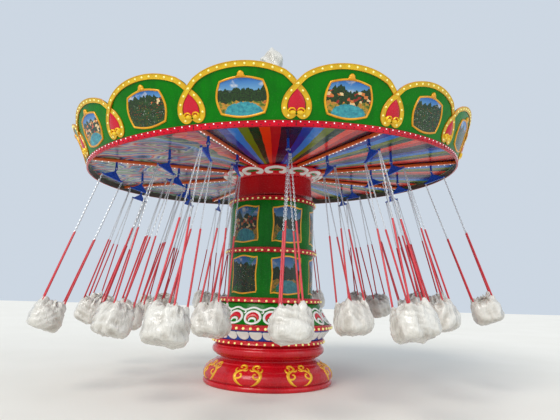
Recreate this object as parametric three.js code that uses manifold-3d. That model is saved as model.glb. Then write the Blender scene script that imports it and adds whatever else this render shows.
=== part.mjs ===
// Chair swing ride: a fixed round column on a moulded plinth carries a leaning, spinning canopy
// with twenty-four wrapped chairs on chains, all in the flung-out pose of the photograph.
// Millimetres, +Z up, -Y towards the viewer; azimuths are degrees from -Y, positive towards +X.
import * as THREE from "three";
import { mergeVertices } from "three/addons/utils/BufferGeometryUtils.js";
import Module from "manifold-3d";

const wasm = await Module();
wasm.setup();
const { Manifold, Mesh } = wasm;

// Driving dimensions
const GAP = 0.3;
const ROUND = 32;
const PLINTH_R = 1255;
const PLINTH_TOP = 770;
const WAIST_R = 1265;
const BAND_TOP_R = 1000;
const TIER_R = 860;
const TIER_RAIL_R = 930;
const TOP_RAIL_R = 905;
const HEAD_PIVOT_Z = 3620;
const AXIS_CROSS_H = 480;
const HEAD_TILT = 3.3;
const HIGH_SIDE_AZ = 135;
const DRUM_R = 800;
const DRUM_BOTTOM = 30;
const CROWN_BOTTOM = 405;
const CROWN_FLARE_TOP = 545;
const CROWN_R = 1055;
const ARM_COUNT = 8;
const FIRST_ARM_AZ = -18.5;
const ARM_BOTTOM = 520;
const ARM_DEPTH = 60;
const ARM_WIDTH = 60;
const RIM_IN_R = 3660;
const RIM_SIDES = 64;
const RIM_R = 3690;
const RIM_BOTTOM = 465;
const RIM_TOP = 556;
const LINING_THICK = 10;
const LINING_OUT_R = 3650;
const BAYS = 16;
const BAY_STEPS = 8;
const BOARD_THICK = 24;
const BOARD_LEAN = 21;
const VALLEY_RISE = 470;
const APEX_RISE = 740;
const HEART_W = 400;
const HEART_H = 500;
const ROOF_APEX_H = 2500;
const ROOF_COLLAR_R = 240;
const ROOF_THICK = 14;
const FINIAL_TOP = 3480;
const FINIAL_R = 250;
const OUTER_PIVOT_R = 3200;
const MIDDLE_PIVOT_R = 2720;
const INNER_PIVOT_R = 2050;
const PIVOT_H = 400;
const OUTER_SWING = 18.6;
const MIDDLE_SWING = 17;
const INNER_SWING = 15.5;
const BOSS_R = 20;
const BOSS_LEN = 30;
const FORK_EAR = 10;
const BAR_DROP = 180;
const BAR_HALF = 180;
const CHAIN_R = 15;
const CHAIN_SPREAD = 150;
const SEAT_TOP = 2440;
const SEAT_BOTTOM = 2970;

const rad = THREE.MathUtils.degToRad;

const paint = (hex, rough = 0.5, metal = 0) =>
  new THREE.MeshStandardMaterial({ color: hex, roughness: rough, metalness: metal });
const RED = paint(0xc0141c, 0.3);
const CRIMSON = paint(0x9c1228, 0.35);
const GREEN = paint(0x1f8a34, 0.4);
const WHITE = paint(0xefefe8, 0.5);
const ORANGE = paint(0xd8401c, 0.35);
const LINING = paint(0x4a5aa8, 0.2);
const BLUE = paint(0x1c3fa0, 0.35);
const WRAP = paint(0xf1f0ec, 0.35);

// Turns a three.js geometry into a solid, and back.
function solid(geometry) {
  const flat = geometry.index ? geometry.toNonIndexed() : geometry;
  const bare = new THREE.BufferGeometry().setAttribute("position", flat.getAttribute("position"));
  const merged = mergeVertices(bare, 1e-3);
  const made = new Manifold(
    new Mesh({
      numProp: 3,
      vertProperties: merged.attributes.position.array,
      triVerts: new Uint32Array(merged.index.array),
    }),
  );
  if (made.volume() <= 0) throw new Error("a solid is inside out");
  return made;
}
function geometryOf(made) {
  const m = made.getMesh();
  const g = new THREE.BufferGeometry();
  g.setAttribute("position", new THREE.BufferAttribute(new Float32Array(m.vertProperties), 3));
  g.setIndex(new THREE.BufferAttribute(new Uint32Array(m.triVerts), 1));
  return g;
}
const joined = (...solids) => Manifold.union(solids);

// A closed solid of revolution from [radius, height] pairs that run from the bottom to the top.
function turned(points, segments = ROUND) {
  const profile = points.map(([r, z]) => new THREE.Vector2(r, z));
  const g = new THREE.LatheGeometry(profile, segments);
  g.rotateX(Math.PI / 2);
  return g;
}
// A solid of revolution that is filled up to its axis.
const disc = (points, segments) =>
  turned([[0, points[0][1]], ...points, [0, points[points.length - 1][1]]], segments);
// A ring, from its closed outline of [radius, height] pairs, anticlockwise in that plane.
const ring = (points, segments) => turned([...points, points[0]], segments);
// The same for the canopy's rim, with a flat side across each arm.
const rimRing = (points) => ring(points, RIM_SIDES).rotateZ(rad(FIRST_ARM_AZ - 90 + 180 / RIM_SIDES));

function block(sx, sy, sz, x = 0, y = 0, z = 0) {
  return new THREE.BoxGeometry(sx, sy, sz).translate(x, y, z);
}
// A straight prism between two points.
function bar(a, b, radius, sides) {
  const from = new THREE.Vector3(...a);
  const to = new THREE.Vector3(...b);
  const g = new THREE.CylinderGeometry(radius, radius, from.distanceTo(to), sides, 1);
  const turn = new THREE.Quaternion().setFromUnitVectors(
    new THREE.Vector3(0, 1, 0),
    to.clone().sub(from).normalize(),
  );
  g.applyQuaternion(turn);
  g.translate(...from.add(to).multiplyScalar(0.5).toArray());
  return g;
}
function mesh(name, geometry, material) {
  const m = new THREE.Mesh(geometry, material);
  m.name = name;
  return m;
}

// The head's own frame: its origin is the bearing on the column, and its axis, which leans to the
// low side, crosses the column's axis at the height of the rim.
const highSide = new THREE.Vector3(Math.sin(rad(HIGH_SIDE_AZ)), -Math.cos(rad(HIGH_SIDE_AZ)), 0);
const leanAxis = new THREE.Vector3(0, 0, 1).cross(highSide).negate();
const headTurn = new THREE.Quaternion().setFromAxisAngle(leanAxis, rad(HEAD_TILT));
const headUp = new THREE.Vector3(0, 0, 1).applyQuaternion(headTurn);
const headOrigin = new THREE.Vector3(0, 0, HEAD_PIVOT_Z + AXIS_CROSS_H).addScaledVector(headUp, -AXIS_CROSS_H);
const fromHead = new THREE.Matrix4().compose(headOrigin, headTurn, new THREE.Vector3(1, 1, 1));
// Turns a shape built along +X to an azimuth about the head's axis.
const toAzimuth = (az) => new THREE.Matrix4().makeRotationZ(rad(az - 90));

const root = new THREE.Group();
const head = new THREE.Group();
head.applyMatrix4(fromHead);
root.add(head);

// Plinth: bottom bead, bulging skirt, neck and top bead
root.add(
  mesh(
    "base_plinth",
    disc([
      [PLINTH_R - 15, 0],
      [PLINTH_R, 25],
      [PLINTH_R, 75],
      [PLINTH_R - 30, 110],
      [PLINTH_R + 5, 160],
      [PLINTH_R, 225],
      [PLINTH_R - 70, 300],
      [PLINTH_R - 190, 390],
      [PLINTH_R - 300, 450],
      [PLINTH_R - 320, 485],
      [PLINTH_R - 230, 530],
      [PLINTH_R - 155, 600],
      [PLINTH_R - 155, 680],
      [PLINTH_R - 200, PLINTH_TOP],
    ]),
    RED,
  ),
);
// A bulb rail: a round-edged disc between two stages of the column.
function rail(name, radius, bottom, top, colour = RED) {
  const edge = (top - bottom) * 0.28;
  root.add(
    mesh(
      name,
      disc([
        [radius - edge, bottom + GAP],
        [radius, bottom + edge],
        [radius, top - edge],
        [radius - edge, top],
      ]),
      colour,
    ),
  );
}
rail("base_rail", 1120, PLINTH_TOP, 850);
root.add(
  mesh(
    "petal_skirt",
    disc([
      [1085, 850 + GAP],
      [1100, 890],
      [1150, 960],
      [1205, 1015],
      [1225, 1040],
    ]),
    WHITE,
  ),
);
rail("waist_rail", WAIST_R, 1040, 1140);
root.add(
  mesh(
    "scroll_band",
    disc([
      [1225, 1140 + GAP],
      [1150, 1215],
      [1080, 1330],
      [1030, 1450],
      [BAND_TOP_R, 1530],
    ]),
    GREEN,
  ),
);
rail("band_rail", 1050, 1530, 1625);
function tier(name, bottom, top) {
  root.add(
    mesh(
      name,
      disc([
        [TIER_R, bottom + GAP],
        [TIER_R, top],
      ]),
      GREEN,
    ),
  );
}
tier("lower_tier", 1625, 2470);
rail("middle_rail", TIER_RAIL_R, 2470, 2570);
tier("upper_tier", 2570, 3480);
rail("top_rail", TOP_RAIL_R, 3480, 3575);

// The fixed seat of the slewing bearing: a short drum cut off along the head's leaning plane
const seatLow = 3575 + GAP;
const wedgeBlank = solid(
  disc([
    [700, seatLow],
    [700, 3800],
  ], 32),
);
const cutOffset = headUp.dot(headOrigin) + (DRUM_BOTTOM - GAP);
root.add(
  mesh(
    "bearing_seat",
    geometryOf(wedgeBlank.trimByPlane(headUp.clone().negate().toArray(), -cutOffset)),
    CRIMSON,
  ),
);

// Crown: plain drum and flared cornice, turning with the sweeps
head.add(
  mesh(
    "crown_drum",
    disc([
      [DRUM_R, DRUM_BOTTOM],
      [DRUM_R, CROWN_BOTTOM],
    ]),
    CRIMSON,
  ),
);
// The cornice's flat sides face the arms.
const armTop = ARM_BOTTOM + ARM_DEPTH;
head.add(
  mesh(
    "crown_cornice",
    disc([
      [DRUM_R + 20, CROWN_BOTTOM + GAP],
      [DRUM_R + 45, CROWN_BOTTOM + 35],
      [DRUM_R + 120, CROWN_BOTTOM + 85],
      [CROWN_R, CROWN_FLARE_TOP - 20],
      [CROWN_R, armTop],
    ]).rotateZ(rad(FIRST_ARM_AZ - 90 + 180 / ROUND)),
    RED,
  ),
);

// Sweeps: eight arms between the crown and the rim, each with the forks of two chairs under it
const armStart = CROWN_R * Math.cos(Math.PI / ROUND) + GAP;
const armEnd = RIM_IN_R * Math.cos(Math.PI / RIM_SIDES) - GAP;
// The fork, an upturned U: its web is fixed under an arm or the ceiling, its ears hold the boss.
function fork(top) {
  const inner = BOSS_LEN / 2 + GAP;
  const outer = inner + FORK_EAR;
  const web = PIVOT_H + BOSS_R + 12;
  const foot = PIVOT_H - BOSS_R;
  const u = new THREE.Shape();
  u.moveTo(-outer, foot);
  u.lineTo(-inner, foot);
  u.lineTo(-inner, web);
  u.lineTo(inner, web);
  u.lineTo(inner, foot);
  u.lineTo(outer, foot);
  u.lineTo(outer, top);
  u.lineTo(-outer, top);
  u.closePath();
  const g = new THREE.ExtrudeGeometry(u, { depth: 2 * BOSS_R, bevelEnabled: false });
  g.translate(0, 0, -BOSS_R);
  g.rotateX(Math.PI / 2);
  g.rotateZ(Math.PI / 2);
  return g;
}
// Three rows of chairs: the outer and the inner one hang from the arms, the middle one between them.
const rows = [
  { kind: "outer", bay: 0, radius: OUTER_PIVOT_R, swing: OUTER_SWING },
  { kind: "middle", bay: 0.5, radius: MIDDLE_PIVOT_R, swing: MIDDLE_SWING },
  { kind: "inner", bay: 0, radius: INNER_PIVOT_R, swing: INNER_SWING },
];
const armPieces = [
  block(armEnd - armStart, ARM_WIDTH, ARM_DEPTH, (armEnd + armStart) / 2, 0, ARM_BOTTOM + ARM_DEPTH / 2),
  fork(ARM_BOTTOM + 20).translate(OUTER_PIVOT_R, 0, 0),
  fork(ARM_BOTTOM + 20).translate(INNER_PIVOT_R, 0, 0),
];
const arm = geometryOf(joined(...armPieces.map(solid)));
const ceilingFork = fork(armTop).translate(MIDDLE_PIVOT_R, 0, 0);
for (let k = 0; k < ARM_COUNT; k++) {
  const m = mesh(`sweep_arm_${k + 1}`, arm, ORANGE);
  m.applyMatrix4(toAzimuth(FIRST_ARM_AZ + k * 45));
  head.add(m);
  const between = mesh(`middle_fork_${k + 1}`, ceilingFork, BLUE);
  between.applyMatrix4(toAzimuth(FIRST_ARM_AZ + (k + 0.5) * 45));
  head.add(between);
}

// Ceiling lining over the sweeps
const liningFoot = armTop + GAP;
head.add(
  mesh(
    "ceiling_lining",
    disc([
      [LINING_OUT_R, liningFoot],
      [LINING_OUT_R, liningFoot + LINING_THICK],
    ], RIM_SIDES).rotateZ(rad(FIRST_ARM_AZ - 90 + 180 / RIM_SIDES)),
    LINING,
  ),
);
head.add(
  mesh(
    "rim_rail",
    rimRing([
      [RIM_IN_R, RIM_BOTTOM],
      [RIM_R, RIM_BOTTOM],
      [RIM_R, RIM_TOP],
      [RIM_IN_R, RIM_TOP],
    ]),
    CRIMSON,
  ),
);

// Rounding boards: one leaning ring with a scalloped top edge and a heart over each valley
const lean = Math.tan(rad(BOARD_LEAN));
const boardFoot = RIM_TOP + GAP;
function scallop(t) {
  // t runs from 0 at one valley to 1 at the next; the top edge is an arc of a circle
  const x = 2 * t - 1;
  return VALLEY_RISE + (APEX_RISE - VALLEY_RISE) * Math.pow(Math.max(0, 1 - x * x), 0.62);
}
function boards() {
  const columns = BAYS * BAY_STEPS;
  const position = [];
  for (let i = 0; i < columns; i++) {
    const t = (i % BAY_STEPS) / BAY_STEPS;
    const az = FIRST_ARM_AZ + ((i / BAY_STEPS) * 360) / BAYS;
    const rise = scallop(t);
    const d = [Math.sin(rad(az)), -Math.cos(rad(az))];
    for (const [offset, height] of [[0, 0], [-BOARD_THICK, 0], [-BOARD_THICK, rise], [0, rise]]) {
      const r = RIM_R - 6 + height * lean + offset;
      position.push(r * d[0], r * d[1], boardFoot + height);
    }
  }
  const index = [];
  for (let i = 0; i < columns; i++) {
    const a = i * 4;
    const b = ((i + 1) % columns) * 4;
    for (let k = 0; k < 4; k++) {
      const n = (k + 1) % 4;
      index.push(a + k, b + n, b + k, a + k, a + n, b + n);
    }
  }
  const g = new THREE.BufferGeometry();
  g.setAttribute("position", new THREE.Float32BufferAttribute(position, 3));
  g.setIndex(index);
  return g;
}
// An upside-down heart plaque, standing on its two lobes, point up.
function heart() {
  const w = HEART_W / 2;
  const h = HEART_H;
  const outline = [
    [0, h], [-0.86 * w, 0.46 * h], [-w, 0.24 * h], [-0.84 * w, 0.05 * h], [-0.5 * w, 0],
    [0, 0.14 * h], [0.5 * w, 0], [0.84 * w, 0.05 * h], [w, 0.24 * h], [0.86 * w, 0.46 * h],
  ];
  const shape = new THREE.Shape(outline.map(([x, y]) => new THREE.Vector2(x, y)));
  const g = new THREE.ExtrudeGeometry(shape, { depth: 50, bevelEnabled: false });
  // lay the plaque against the leaning board, its face outwards along +X
  g.translate(0, 0, -24);
  g.rotateX(Math.PI / 2);
  g.rotateZ(Math.PI / 2);
  g.rotateY(rad(BOARD_LEAN));
  g.translate(RIM_R + 2, 0, boardFoot + 10);
  return g;
}
const boardSolid = solid(boards());
const hearts = [];
for (let k = 0; k < BAYS; k++)
  hearts.push(solid(heart().applyMatrix4(toAzimuth(FIRST_ARM_AZ + k * 22.5))));
head.add(mesh("rounding_boards", geometryOf(joined(boardSolid, ...hearts)), GREEN));

// Roof: a slightly hollow-sided cone shell, then the wrapped finial on its collar
const roofFoot = liningFoot + LINING_THICK + GAP;
head.add(
  mesh(
    "roof_cone",
    ring([
      [RIM_IN_R - 70, roofFoot],
      [RIM_IN_R - 20, roofFoot],
      [2300, 1210],
      [1150, 1800],
      [ROOF_COLLAR_R + 60, ROOF_APEX_H],
      [ROOF_COLLAR_R, ROOF_APEX_H],
      [1120, 1800 - 3 * ROOF_THICK],
      [2270, 1210 - 3 * ROOF_THICK],
    ], 32),
    GREEN,
  ),
);
head.add(
  mesh(
    "finial_cover",
    disc([
      [FINIAL_R + 30, ROOF_APEX_H + GAP],
      [FINIAL_R + 40, ROOF_APEX_H + 100],
      [FINIAL_R - 10, ROOF_APEX_H + 255],
      [FINIAL_R + 15, ROOF_APEX_H + 475],
      [FINIAL_R - 15, ROOF_APEX_H + 680],
      [150, ROOF_APEX_H + 830],
      [70, ROOF_APEX_H + 920],
      [25, FINIAL_TOP],
    ], 14),
    WRAP,
  ),
);

// One chair in its own frame: origin at the pivot, hanging along -Z, radial +X, bar along X. Below
// the bar, the chains and the seat lean sideways by an angle about the bar.
function chairSolid(sideways) {
  const hung = (g) => g.translate(0, 0, BAR_DROP).rotateX(sideways).translate(0, 0, -BAR_DROP);
  const pieces = [
    solid(bar([0, -BOSS_LEN / 2, 0], [0, BOSS_LEN / 2, 0], BOSS_R, 6)),
    solid(block(34, 24, BAR_DROP, 0, 0, -BAR_DROP / 2)),
    solid(block(2 * BAR_HALF + 30, 34, 34, 0, 0, -BAR_DROP)),
  ];
  const gusset = new THREE.Shape();
  gusset.moveTo(0, -60);
  gusset.lineTo(-150, -BAR_DROP);
  gusset.lineTo(150, -BAR_DROP);
  gusset.closePath();
  const plate = new THREE.ExtrudeGeometry(gusset, { depth: 12, bevelEnabled: false });
  plate.translate(0, 0, -6).rotateX(Math.PI / 2);
  pieces.push(solid(plate));
  for (const sx of [-1, 1])
    for (const sy of [-1, 1])
      pieces.push(
        solid(
          hung(
            bar(
              [sx * BAR_HALF, sy * 10, -BAR_DROP],
              [sx * 165, sy * CHAIN_SPREAD, -SEAT_TOP - 200],
              CHAIN_R,
              4,
            ),
          ),
        ),
      );
  const bag = disc([
    [190, -SEAT_BOTTOM],
    [285, -SEAT_BOTTOM + 130],
    [290, -SEAT_BOTTOM + 310],
    [200, -SEAT_TOP - 70],
    [60, -SEAT_TOP],
  ], 9);
  bag.scale(0.93, 1.04, 1);
  pieces.push(solid(hung(bag)));
  return geometryOf(joined(...pieces));
}
const down = new THREE.Vector3(0, 0, -1).applyQuaternion(headTurn.clone().invert());
for (const row of rows)
  for (let k = 0; k < ARM_COUNT; k++) {
    // the chair's angles in the head's frame, so that it hangs at its swing from the true vertical
    const az = FIRST_ARM_AZ + (k + row.bay) * 45;
    const along = new THREE.Vector3(Math.sin(rad(az)), -Math.cos(rad(az)), 0);
    const across = new THREE.Vector3(Math.cos(rad(az)), Math.sin(rad(az)), 0);
    const slant = Math.atan2(down.dot(along), -down.z);
    const sideways = Math.atan2(down.dot(across) * Math.cos(rad(row.swing)), -down.z);
    const m = mesh(`${row.kind}_chair_${k + 1}`, chairSolid(sideways), WRAP);
    m.applyMatrix4(new THREE.Matrix4().makeRotationY(-rad(row.swing) - slant));
    m.applyMatrix4(new THREE.Matrix4().makeTranslation(row.radius, 0, PIVOT_H));
    m.applyMatrix4(toAzimuth(az));
    head.add(m);
  }

export default root;
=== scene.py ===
import bpy
import numpy as np
from mathutils import Matrix


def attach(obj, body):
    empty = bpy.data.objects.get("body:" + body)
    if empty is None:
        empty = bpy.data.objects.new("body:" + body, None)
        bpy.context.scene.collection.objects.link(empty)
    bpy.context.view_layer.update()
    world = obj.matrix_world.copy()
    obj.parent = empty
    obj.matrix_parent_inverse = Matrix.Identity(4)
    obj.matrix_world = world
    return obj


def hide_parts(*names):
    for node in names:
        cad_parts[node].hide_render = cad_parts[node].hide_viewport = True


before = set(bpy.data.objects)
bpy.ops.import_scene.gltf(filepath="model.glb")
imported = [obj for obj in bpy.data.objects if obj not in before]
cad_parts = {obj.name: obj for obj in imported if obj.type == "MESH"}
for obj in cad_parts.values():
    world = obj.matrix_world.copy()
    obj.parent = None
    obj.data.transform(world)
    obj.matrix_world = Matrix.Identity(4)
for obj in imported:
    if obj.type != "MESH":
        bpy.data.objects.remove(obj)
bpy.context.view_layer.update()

# View, floor and light: the eye stands 9.9 m in front at eye height and looks up a little through a
# short lens. The floor is plain and pale, and the light is a wide soft one with a weaker one and a pale sky.
EYE = np.array([-0.082, -9.870, 1.659])
LENS_MM = 30.64
SENSOR_MM = 36.0
PITCH, YAW, ROLL = np.radians([10.236, 1.399, 1.571])

ahead = np.array([np.sin(YAW) * np.cos(PITCH), np.cos(YAW) * np.cos(PITCH), np.sin(PITCH)])
level = np.array([np.cos(YAW), -np.sin(YAW), 0.0])
above = np.cross(level, ahead)
camera_x = np.cos(ROLL) * level + np.sin(ROLL) * above
camera_y = -np.sin(ROLL) * level + np.cos(ROLL) * above
seen_from = np.eye(4)
seen_from[:3] = np.stack([camera_x, camera_y, -ahead, EYE], axis=1)
camera_data = bpy.data.cameras.new("view")
camera_data.lens = LENS_MM
camera_data.sensor_width = SENSOR_MM
camera = bpy.data.objects.new("view", camera_data)
bpy.context.scene.collection.objects.link(camera)
camera.matrix_world = Matrix(seen_from.tolist())
bpy.context.scene.camera = camera


def lamp(name, place, spread, strength, colour):
    """A far soft light, as wide as its spread in degrees, that shines from a place to the ride."""
    data = bpy.data.lights.new(name, "SUN")
    data.angle = np.radians(spread)
    data.energy = strength
    data.color = colour
    made = bpy.data.objects.new(name, data)
    bpy.context.scene.collection.objects.link(made)
    aim = np.array([0.0, 0.0, 2.6]) - np.array(place)
    back = -aim / np.linalg.norm(aim)
    right = np.cross([0.0, 0.0, 1.0], back)
    right /= np.linalg.norm(right)
    turned = np.eye(4)
    turned[:3] = np.stack([right, np.cross(back, right), back, place], axis=1)
    made.matrix_world = Matrix(turned.tolist())


lamp("key_light", (-9.0, -13.0, 15.0), 34.0, 2.15, (1.0, 0.97, 0.92))
lamp("fill_light", (13.0, -9.0, 8.0), 50.0, 0.6, (0.93, 0.96, 1.0))
sky = bpy.data.worlds.new("sky")
sky.use_nodes = True
sky_light = sky.node_tree.nodes["Background"].inputs
sky_light["Color"].default_value = (0.78, 0.87, 0.98, 1.0)
sky_light["Strength"].default_value = 0.78
bpy.context.scene.world = sky
bpy.context.scene.view_settings.view_transform = "Standard"


def linear(red, green, blue):
    """A colour from screen values of 0 to 255, as the linear values that a shader takes."""
    screen = np.array([red, green, blue]) / 255.0
    low = screen / 12.92
    high = ((screen + 0.055) / 1.055) ** 2.4
    return (*np.where(screen <= 0.04045, low, high).tolist(), 1.0)


class Value:
    """A socket that gives a value. Arithmetic on it adds the Math nodes for the sum."""

    def __init__(self, finish, socket):
        self.finish = finish
        self.socket = socket

    def __add__(self, other):
        return self.finish.maths("ADD", self, other)

    def __radd__(self, other):
        return self.finish.maths("ADD", other, self)

    def __sub__(self, other):
        return self.finish.maths("SUBTRACT", self, other)

    def __rsub__(self, other):
        return self.finish.maths("SUBTRACT", other, self)

    def __mul__(self, other):
        return self.finish.maths("MULTIPLY", self, other)

    def __rmul__(self, other):
        return self.finish.maths("MULTIPLY", other, self)

    def __lt__(self, other):
        return self.finish.maths("LESS_THAN", self, other)

    def __gt__(self, other):
        return self.finish.maths("GREATER_THAN", self, other)


class Finish:
    """A material of nodes round one Principled shader, with the sockets that are the same all over."""

    def __init__(self, name, **fixed):
        self.material = bpy.data.materials.new(name)
        self.material.use_nodes = True
        self.tree = self.material.node_tree
        self.shader = self.tree.nodes["Principled BSDF"]
        self.feed(self.shader, {key.replace("_", " "): value for key, value in fixed.items()})

    def feed(self, made, sockets):
        """Sets or links sockets of a node, by name or by place."""
        for key, value in sockets.items():
            socket = made.inputs[key]
            if isinstance(value, Value):
                self.tree.links.new(value.socket, socket)
            else:
                socket.default_value = value

    def node(self, kind, settings, sockets, output=0):
        """Adds a node of any type: its settings, then its sockets. Gives one of its outputs."""
        made = self.tree.nodes.new("ShaderNode" + kind)
        for key, value in settings.items():
            if key == "stops":
                ramp = made.color_ramp
                while len(ramp.elements) < len(value):
                    ramp.elements.new(0.5)
                for element, (position, colour) in zip(ramp.elements, value):
                    element.position = position
                    element.color = linear(*colour)
            elif key == "interpolation":
                made.color_ramp.interpolation = value
            else:
                setattr(made, key, value)
        self.feed(made, sockets)
        return Value(self, made.outputs[output])

    def maths(self, operation, *values):
        return self.node("Math", {"operation": operation}, dict(enumerate(values)))

    def parts(self, vector):
        """The x, y and z of a vector, or the three parts of a colour."""
        split = self.node("SeparateXYZ", {}, {0: vector}).socket.node
        return [Value(self, output) for output in split.outputs]

    def held(self, value):
        """A value kept between 0 and 1."""
        return self.node("Math", {"operation": "ADD", "use_clamp": True}, {0: value, 1: 0.0})

    def mix(self, share, low, high):
        """A colour part of the way from low to high. Each is a link or three screen values."""
        low, high = (end if isinstance(end, Value) else linear(*end) for end in (low, high))
        return self.node("Mix", {"data_type": "RGBA"}, {0: share, 6: low, 7: high}, output=2)

    def ramp(self, share, *stops, interpolation="LINEAR"):
        return self.node("ValToRGB", {"stops": stops, "interpolation": interpolation}, {0: share})

    def place(self, stretch=(1.0, 1.0, 1.0), turn=(0.0, 0.0, 0.0), shift=(0.0, 0.0, 0.0)):
        """The point on the piece, in metres, turned, stretched or shifted."""
        here = self.node("TexCoord", {}, {}, output="Object")
        sockets = {"Vector": here, "Location": shift, "Rotation": turn, "Scale": stretch}
        return self.node("Mapping", {}, sockets)

    def noise(self, where, scale, detail=3.0, roughness=0.55):
        sockets = {"Vector": where, "Scale": scale, "Detail": detail, "Roughness": roughness}
        return self.node("TexNoise", {}, sockets)

    def bump(self, height, distance, strength):
        return self.node("Bump", {}, {"Height": height, "Distance": distance, "Strength": strength})

    def surface(self, **sockets):
        """Feeds the shader's own sockets and gives the material."""
        self.feed(self.shader, {key.replace("_", " "): value for key, value in sockets.items()})
        return self.material


FLOOR_HALF = 60.0
pale = Finish("pale_floor", Roughness=0.85)
floor_grey = pale.mix(pale.noise(pale.place(), 0.35), (226, 222, 212), (238, 234, 226))
floor_mesh = bpy.data.meshes.new("floor")
corners = [(-FLOOR_HALF, -FLOOR_HALF, 0), (FLOOR_HALF, -FLOOR_HALF, 0), (FLOOR_HALF, FLOOR_HALF, 0)]
floor_mesh.from_pydata([*corners, (-FLOOR_HALF, FLOOR_HALF, 0)], [], [(0, 1, 2, 3)])
floor_mesh.materials.append(pale.surface(Base_Color=floor_grey))
floor = bpy.data.objects.new("floor", floor_mesh)
bpy.context.scene.collection.objects.link(floor)

# Plinth: a glass-fibre moulding in glossy red, one turned shape from the bottom bead over the bulging
# skirt to the neck and the top bead. Eight pairs of gold scrolls are laid on the skirt.


def smooth_line(points, count, closed=False):
    """A line through points (n, k): between two of them it is the cubic whose slope at each is half
    the step between its neighbours. count points come back, evenly spread over the spans."""
    points = np.asarray(points, float)
    spans = len(points) if closed else len(points) - 1
    if closed:
        padded = np.concatenate([points[-1:], points, points[:2]])
    else:
        padded = np.concatenate([2 * points[:1] - points[1:2], points, 2 * points[-1:] - points[-2:-1]])
    spot = np.linspace(0, spans, count, endpoint=not closed)
    first = np.minimum(spot.astype(int), spans - 1)
    t = (spot - first)[:, None]
    a, b, c, d = (padded[first + k] for k in range(4))
    return b + 0.5 * t * (c - a + t * (2 * a - 5 * b + 4 * c - d + t * (3 * (b - c) + d - a)))


def all_round(count, first=0.0):
    """Turns at equal steps all round, from first, a share of a step."""
    return (np.arange(count) + first) * 2 * np.pi / count


def repeated(points, faces):
    """Joins copies (copies, n, 3) of one shape: the faces of each start n points further on."""
    copies, size = points.shape[:2]
    start = size * np.arange(copies)[:, None, None]
    return points.reshape(-1, 3), [(f[None] + start).reshape(-1, f.shape[1]) for f in faces]


def skin(grid, around=True, along=False, first=False, last=False):
    """Four-sided faces over a grid of points (rows, columns, 3). around joins the last column to the
    first, along the last row to the first, and first and last close an end row to its middle."""
    rows, columns = grid.shape[:2]
    index = np.arange(rows * columns).reshape(rows, columns)
    points = grid.reshape(-1, 3)
    if around:
        index = np.hstack([index, index[:, :1]])
    if along:
        index = np.vstack([index, index[:1]])
    corners = [index[:-1, :-1], index[:-1, 1:], index[1:, 1:], index[1:, :-1]]
    faces = [np.stack(corners, axis=-1).reshape(-1, 4)]
    for rim, wanted in ((index[0, ::-1], first), (index[-1], last)):
        if wanted:
            pole = np.full(len(rim) - 1, len(points))
            faces.append(np.stack([rim[:-1], rim[1:], pole], axis=1))
            points = np.vstack([points, points[rim[:-1]].mean(axis=0)])
    return points, faces


def piece(name, body, slot, finish, *parts, uv=None, sharp=40.0):
    """One mesh of closed parts, each turned right side out by the sign of its volume, with edges
    sharper than an angle kept. It rides on its body and takes the finish as its material. The slot is not
    used."""
    points = np.concatenate([p for p, _ in parts])
    faces = []
    start = 0
    for part_points, part_faces in parts:
        volume = 0.0
        for f in part_faces:
            for k in range(1, f.shape[1] - 1):
                across = np.cross(part_points[f[:, k]], part_points[f[:, k + 1]])
                volume += (part_points[f[:, 0]] * across).sum()
        faces += [(f if volume > 0 else f[:, ::-1]) + start for f in part_faces]
        start += len(part_points)
    loops = np.concatenate([f.ravel() for f in faces]).astype(np.int32)
    sides = np.concatenate([np.full(len(f), f.shape[1]) for f in faces])
    mesh = bpy.data.meshes.new(name)
    mesh.vertices.add(len(points))
    mesh.vertices.foreach_set("co", points.ravel().astype(np.float32))
    mesh.loops.add(len(loops))
    mesh.loops.foreach_set("vertex_index", loops)
    mesh.polygons.add(len(sides))
    mesh.polygons.foreach_set("loop_start", (np.cumsum(sides) - sides).astype(np.int32))
    if uv is not None:
        mesh.uv_layers.new(name="UVMap").uv.foreach_set("vector", uv[loops].ravel().astype(np.float32))
    mesh.update(calc_edges=True)
    mesh.shade_smooth()
    mesh.set_sharp_from_angle(angle=np.radians(sharp))
    mesh.materials.append(finish)
    made = bpy.data.objects.new(name, mesh)
    bpy.context.scene.collection.objects.link(made)
    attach(made, body)
    return made


def swung(radius, turn, height):
    """Points at a radius and a height, swung round the axis by a turn from the front."""
    return np.stack(np.broadcast_arrays(radius * np.sin(turn), -radius * np.cos(turn), height), axis=-1)


class Round:
    """A turned surface, from its profile of (radius, height) pairs, bottom to top. A point given by its
    turn from the front, its way up the profile and its height off it takes the profile's radius and
    height there, moves out along the profile's normal, and is swung round the axis."""

    def __init__(self, profile, carry=lambda points: points):
        self.profile = np.asarray(profile, float)
        steps = np.linalg.norm(np.diff(self.profile, axis=0), axis=1)
        self.length = np.concatenate([[0], np.cumsum(steps)])
        run = np.gradient(self.profile, self.length, axis=0)
        run /= np.linalg.norm(run, axis=1, keepdims=True)
        self.normal = np.stack([run[:, 1], -run[:, 0]], axis=1)
        self.carry = carry

    def read(self, along, column):
        return np.interp(along, self.length, column)

    def at(self, turn, along, out):
        r = self.read(along, self.profile[:, 0]) + out * self.read(along, self.normal[:, 0])
        z = self.read(along, self.profile[:, 1]) + out * self.read(along, self.normal[:, 1])
        return self.carry(swung(r, turn, z))

    def lay(self, drawn, turns):
        """Lays a drawn shape, points of (across, along, out) with its faces, once at each turn."""
        points, faces = drawn
        swing = np.asarray(turns, float)[:, None] + points[:, 0] / self.read(points[:, 1], self.profile[:, 0])
        return repeated(self.at(swing, points[:, 1], points[:, 2]), faces)

    def body(self, sides, closed=False):
        """The surface itself, all round: filled to the axis, or a ring if its profile is a closed one."""
        turn = all_round(sides)
        grid = self.at(turn[None, :], self.length[:, None], 0.0)
        return skin(grid[:-1] if closed else grid, along=closed, first=not closed, last=not closed)


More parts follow.
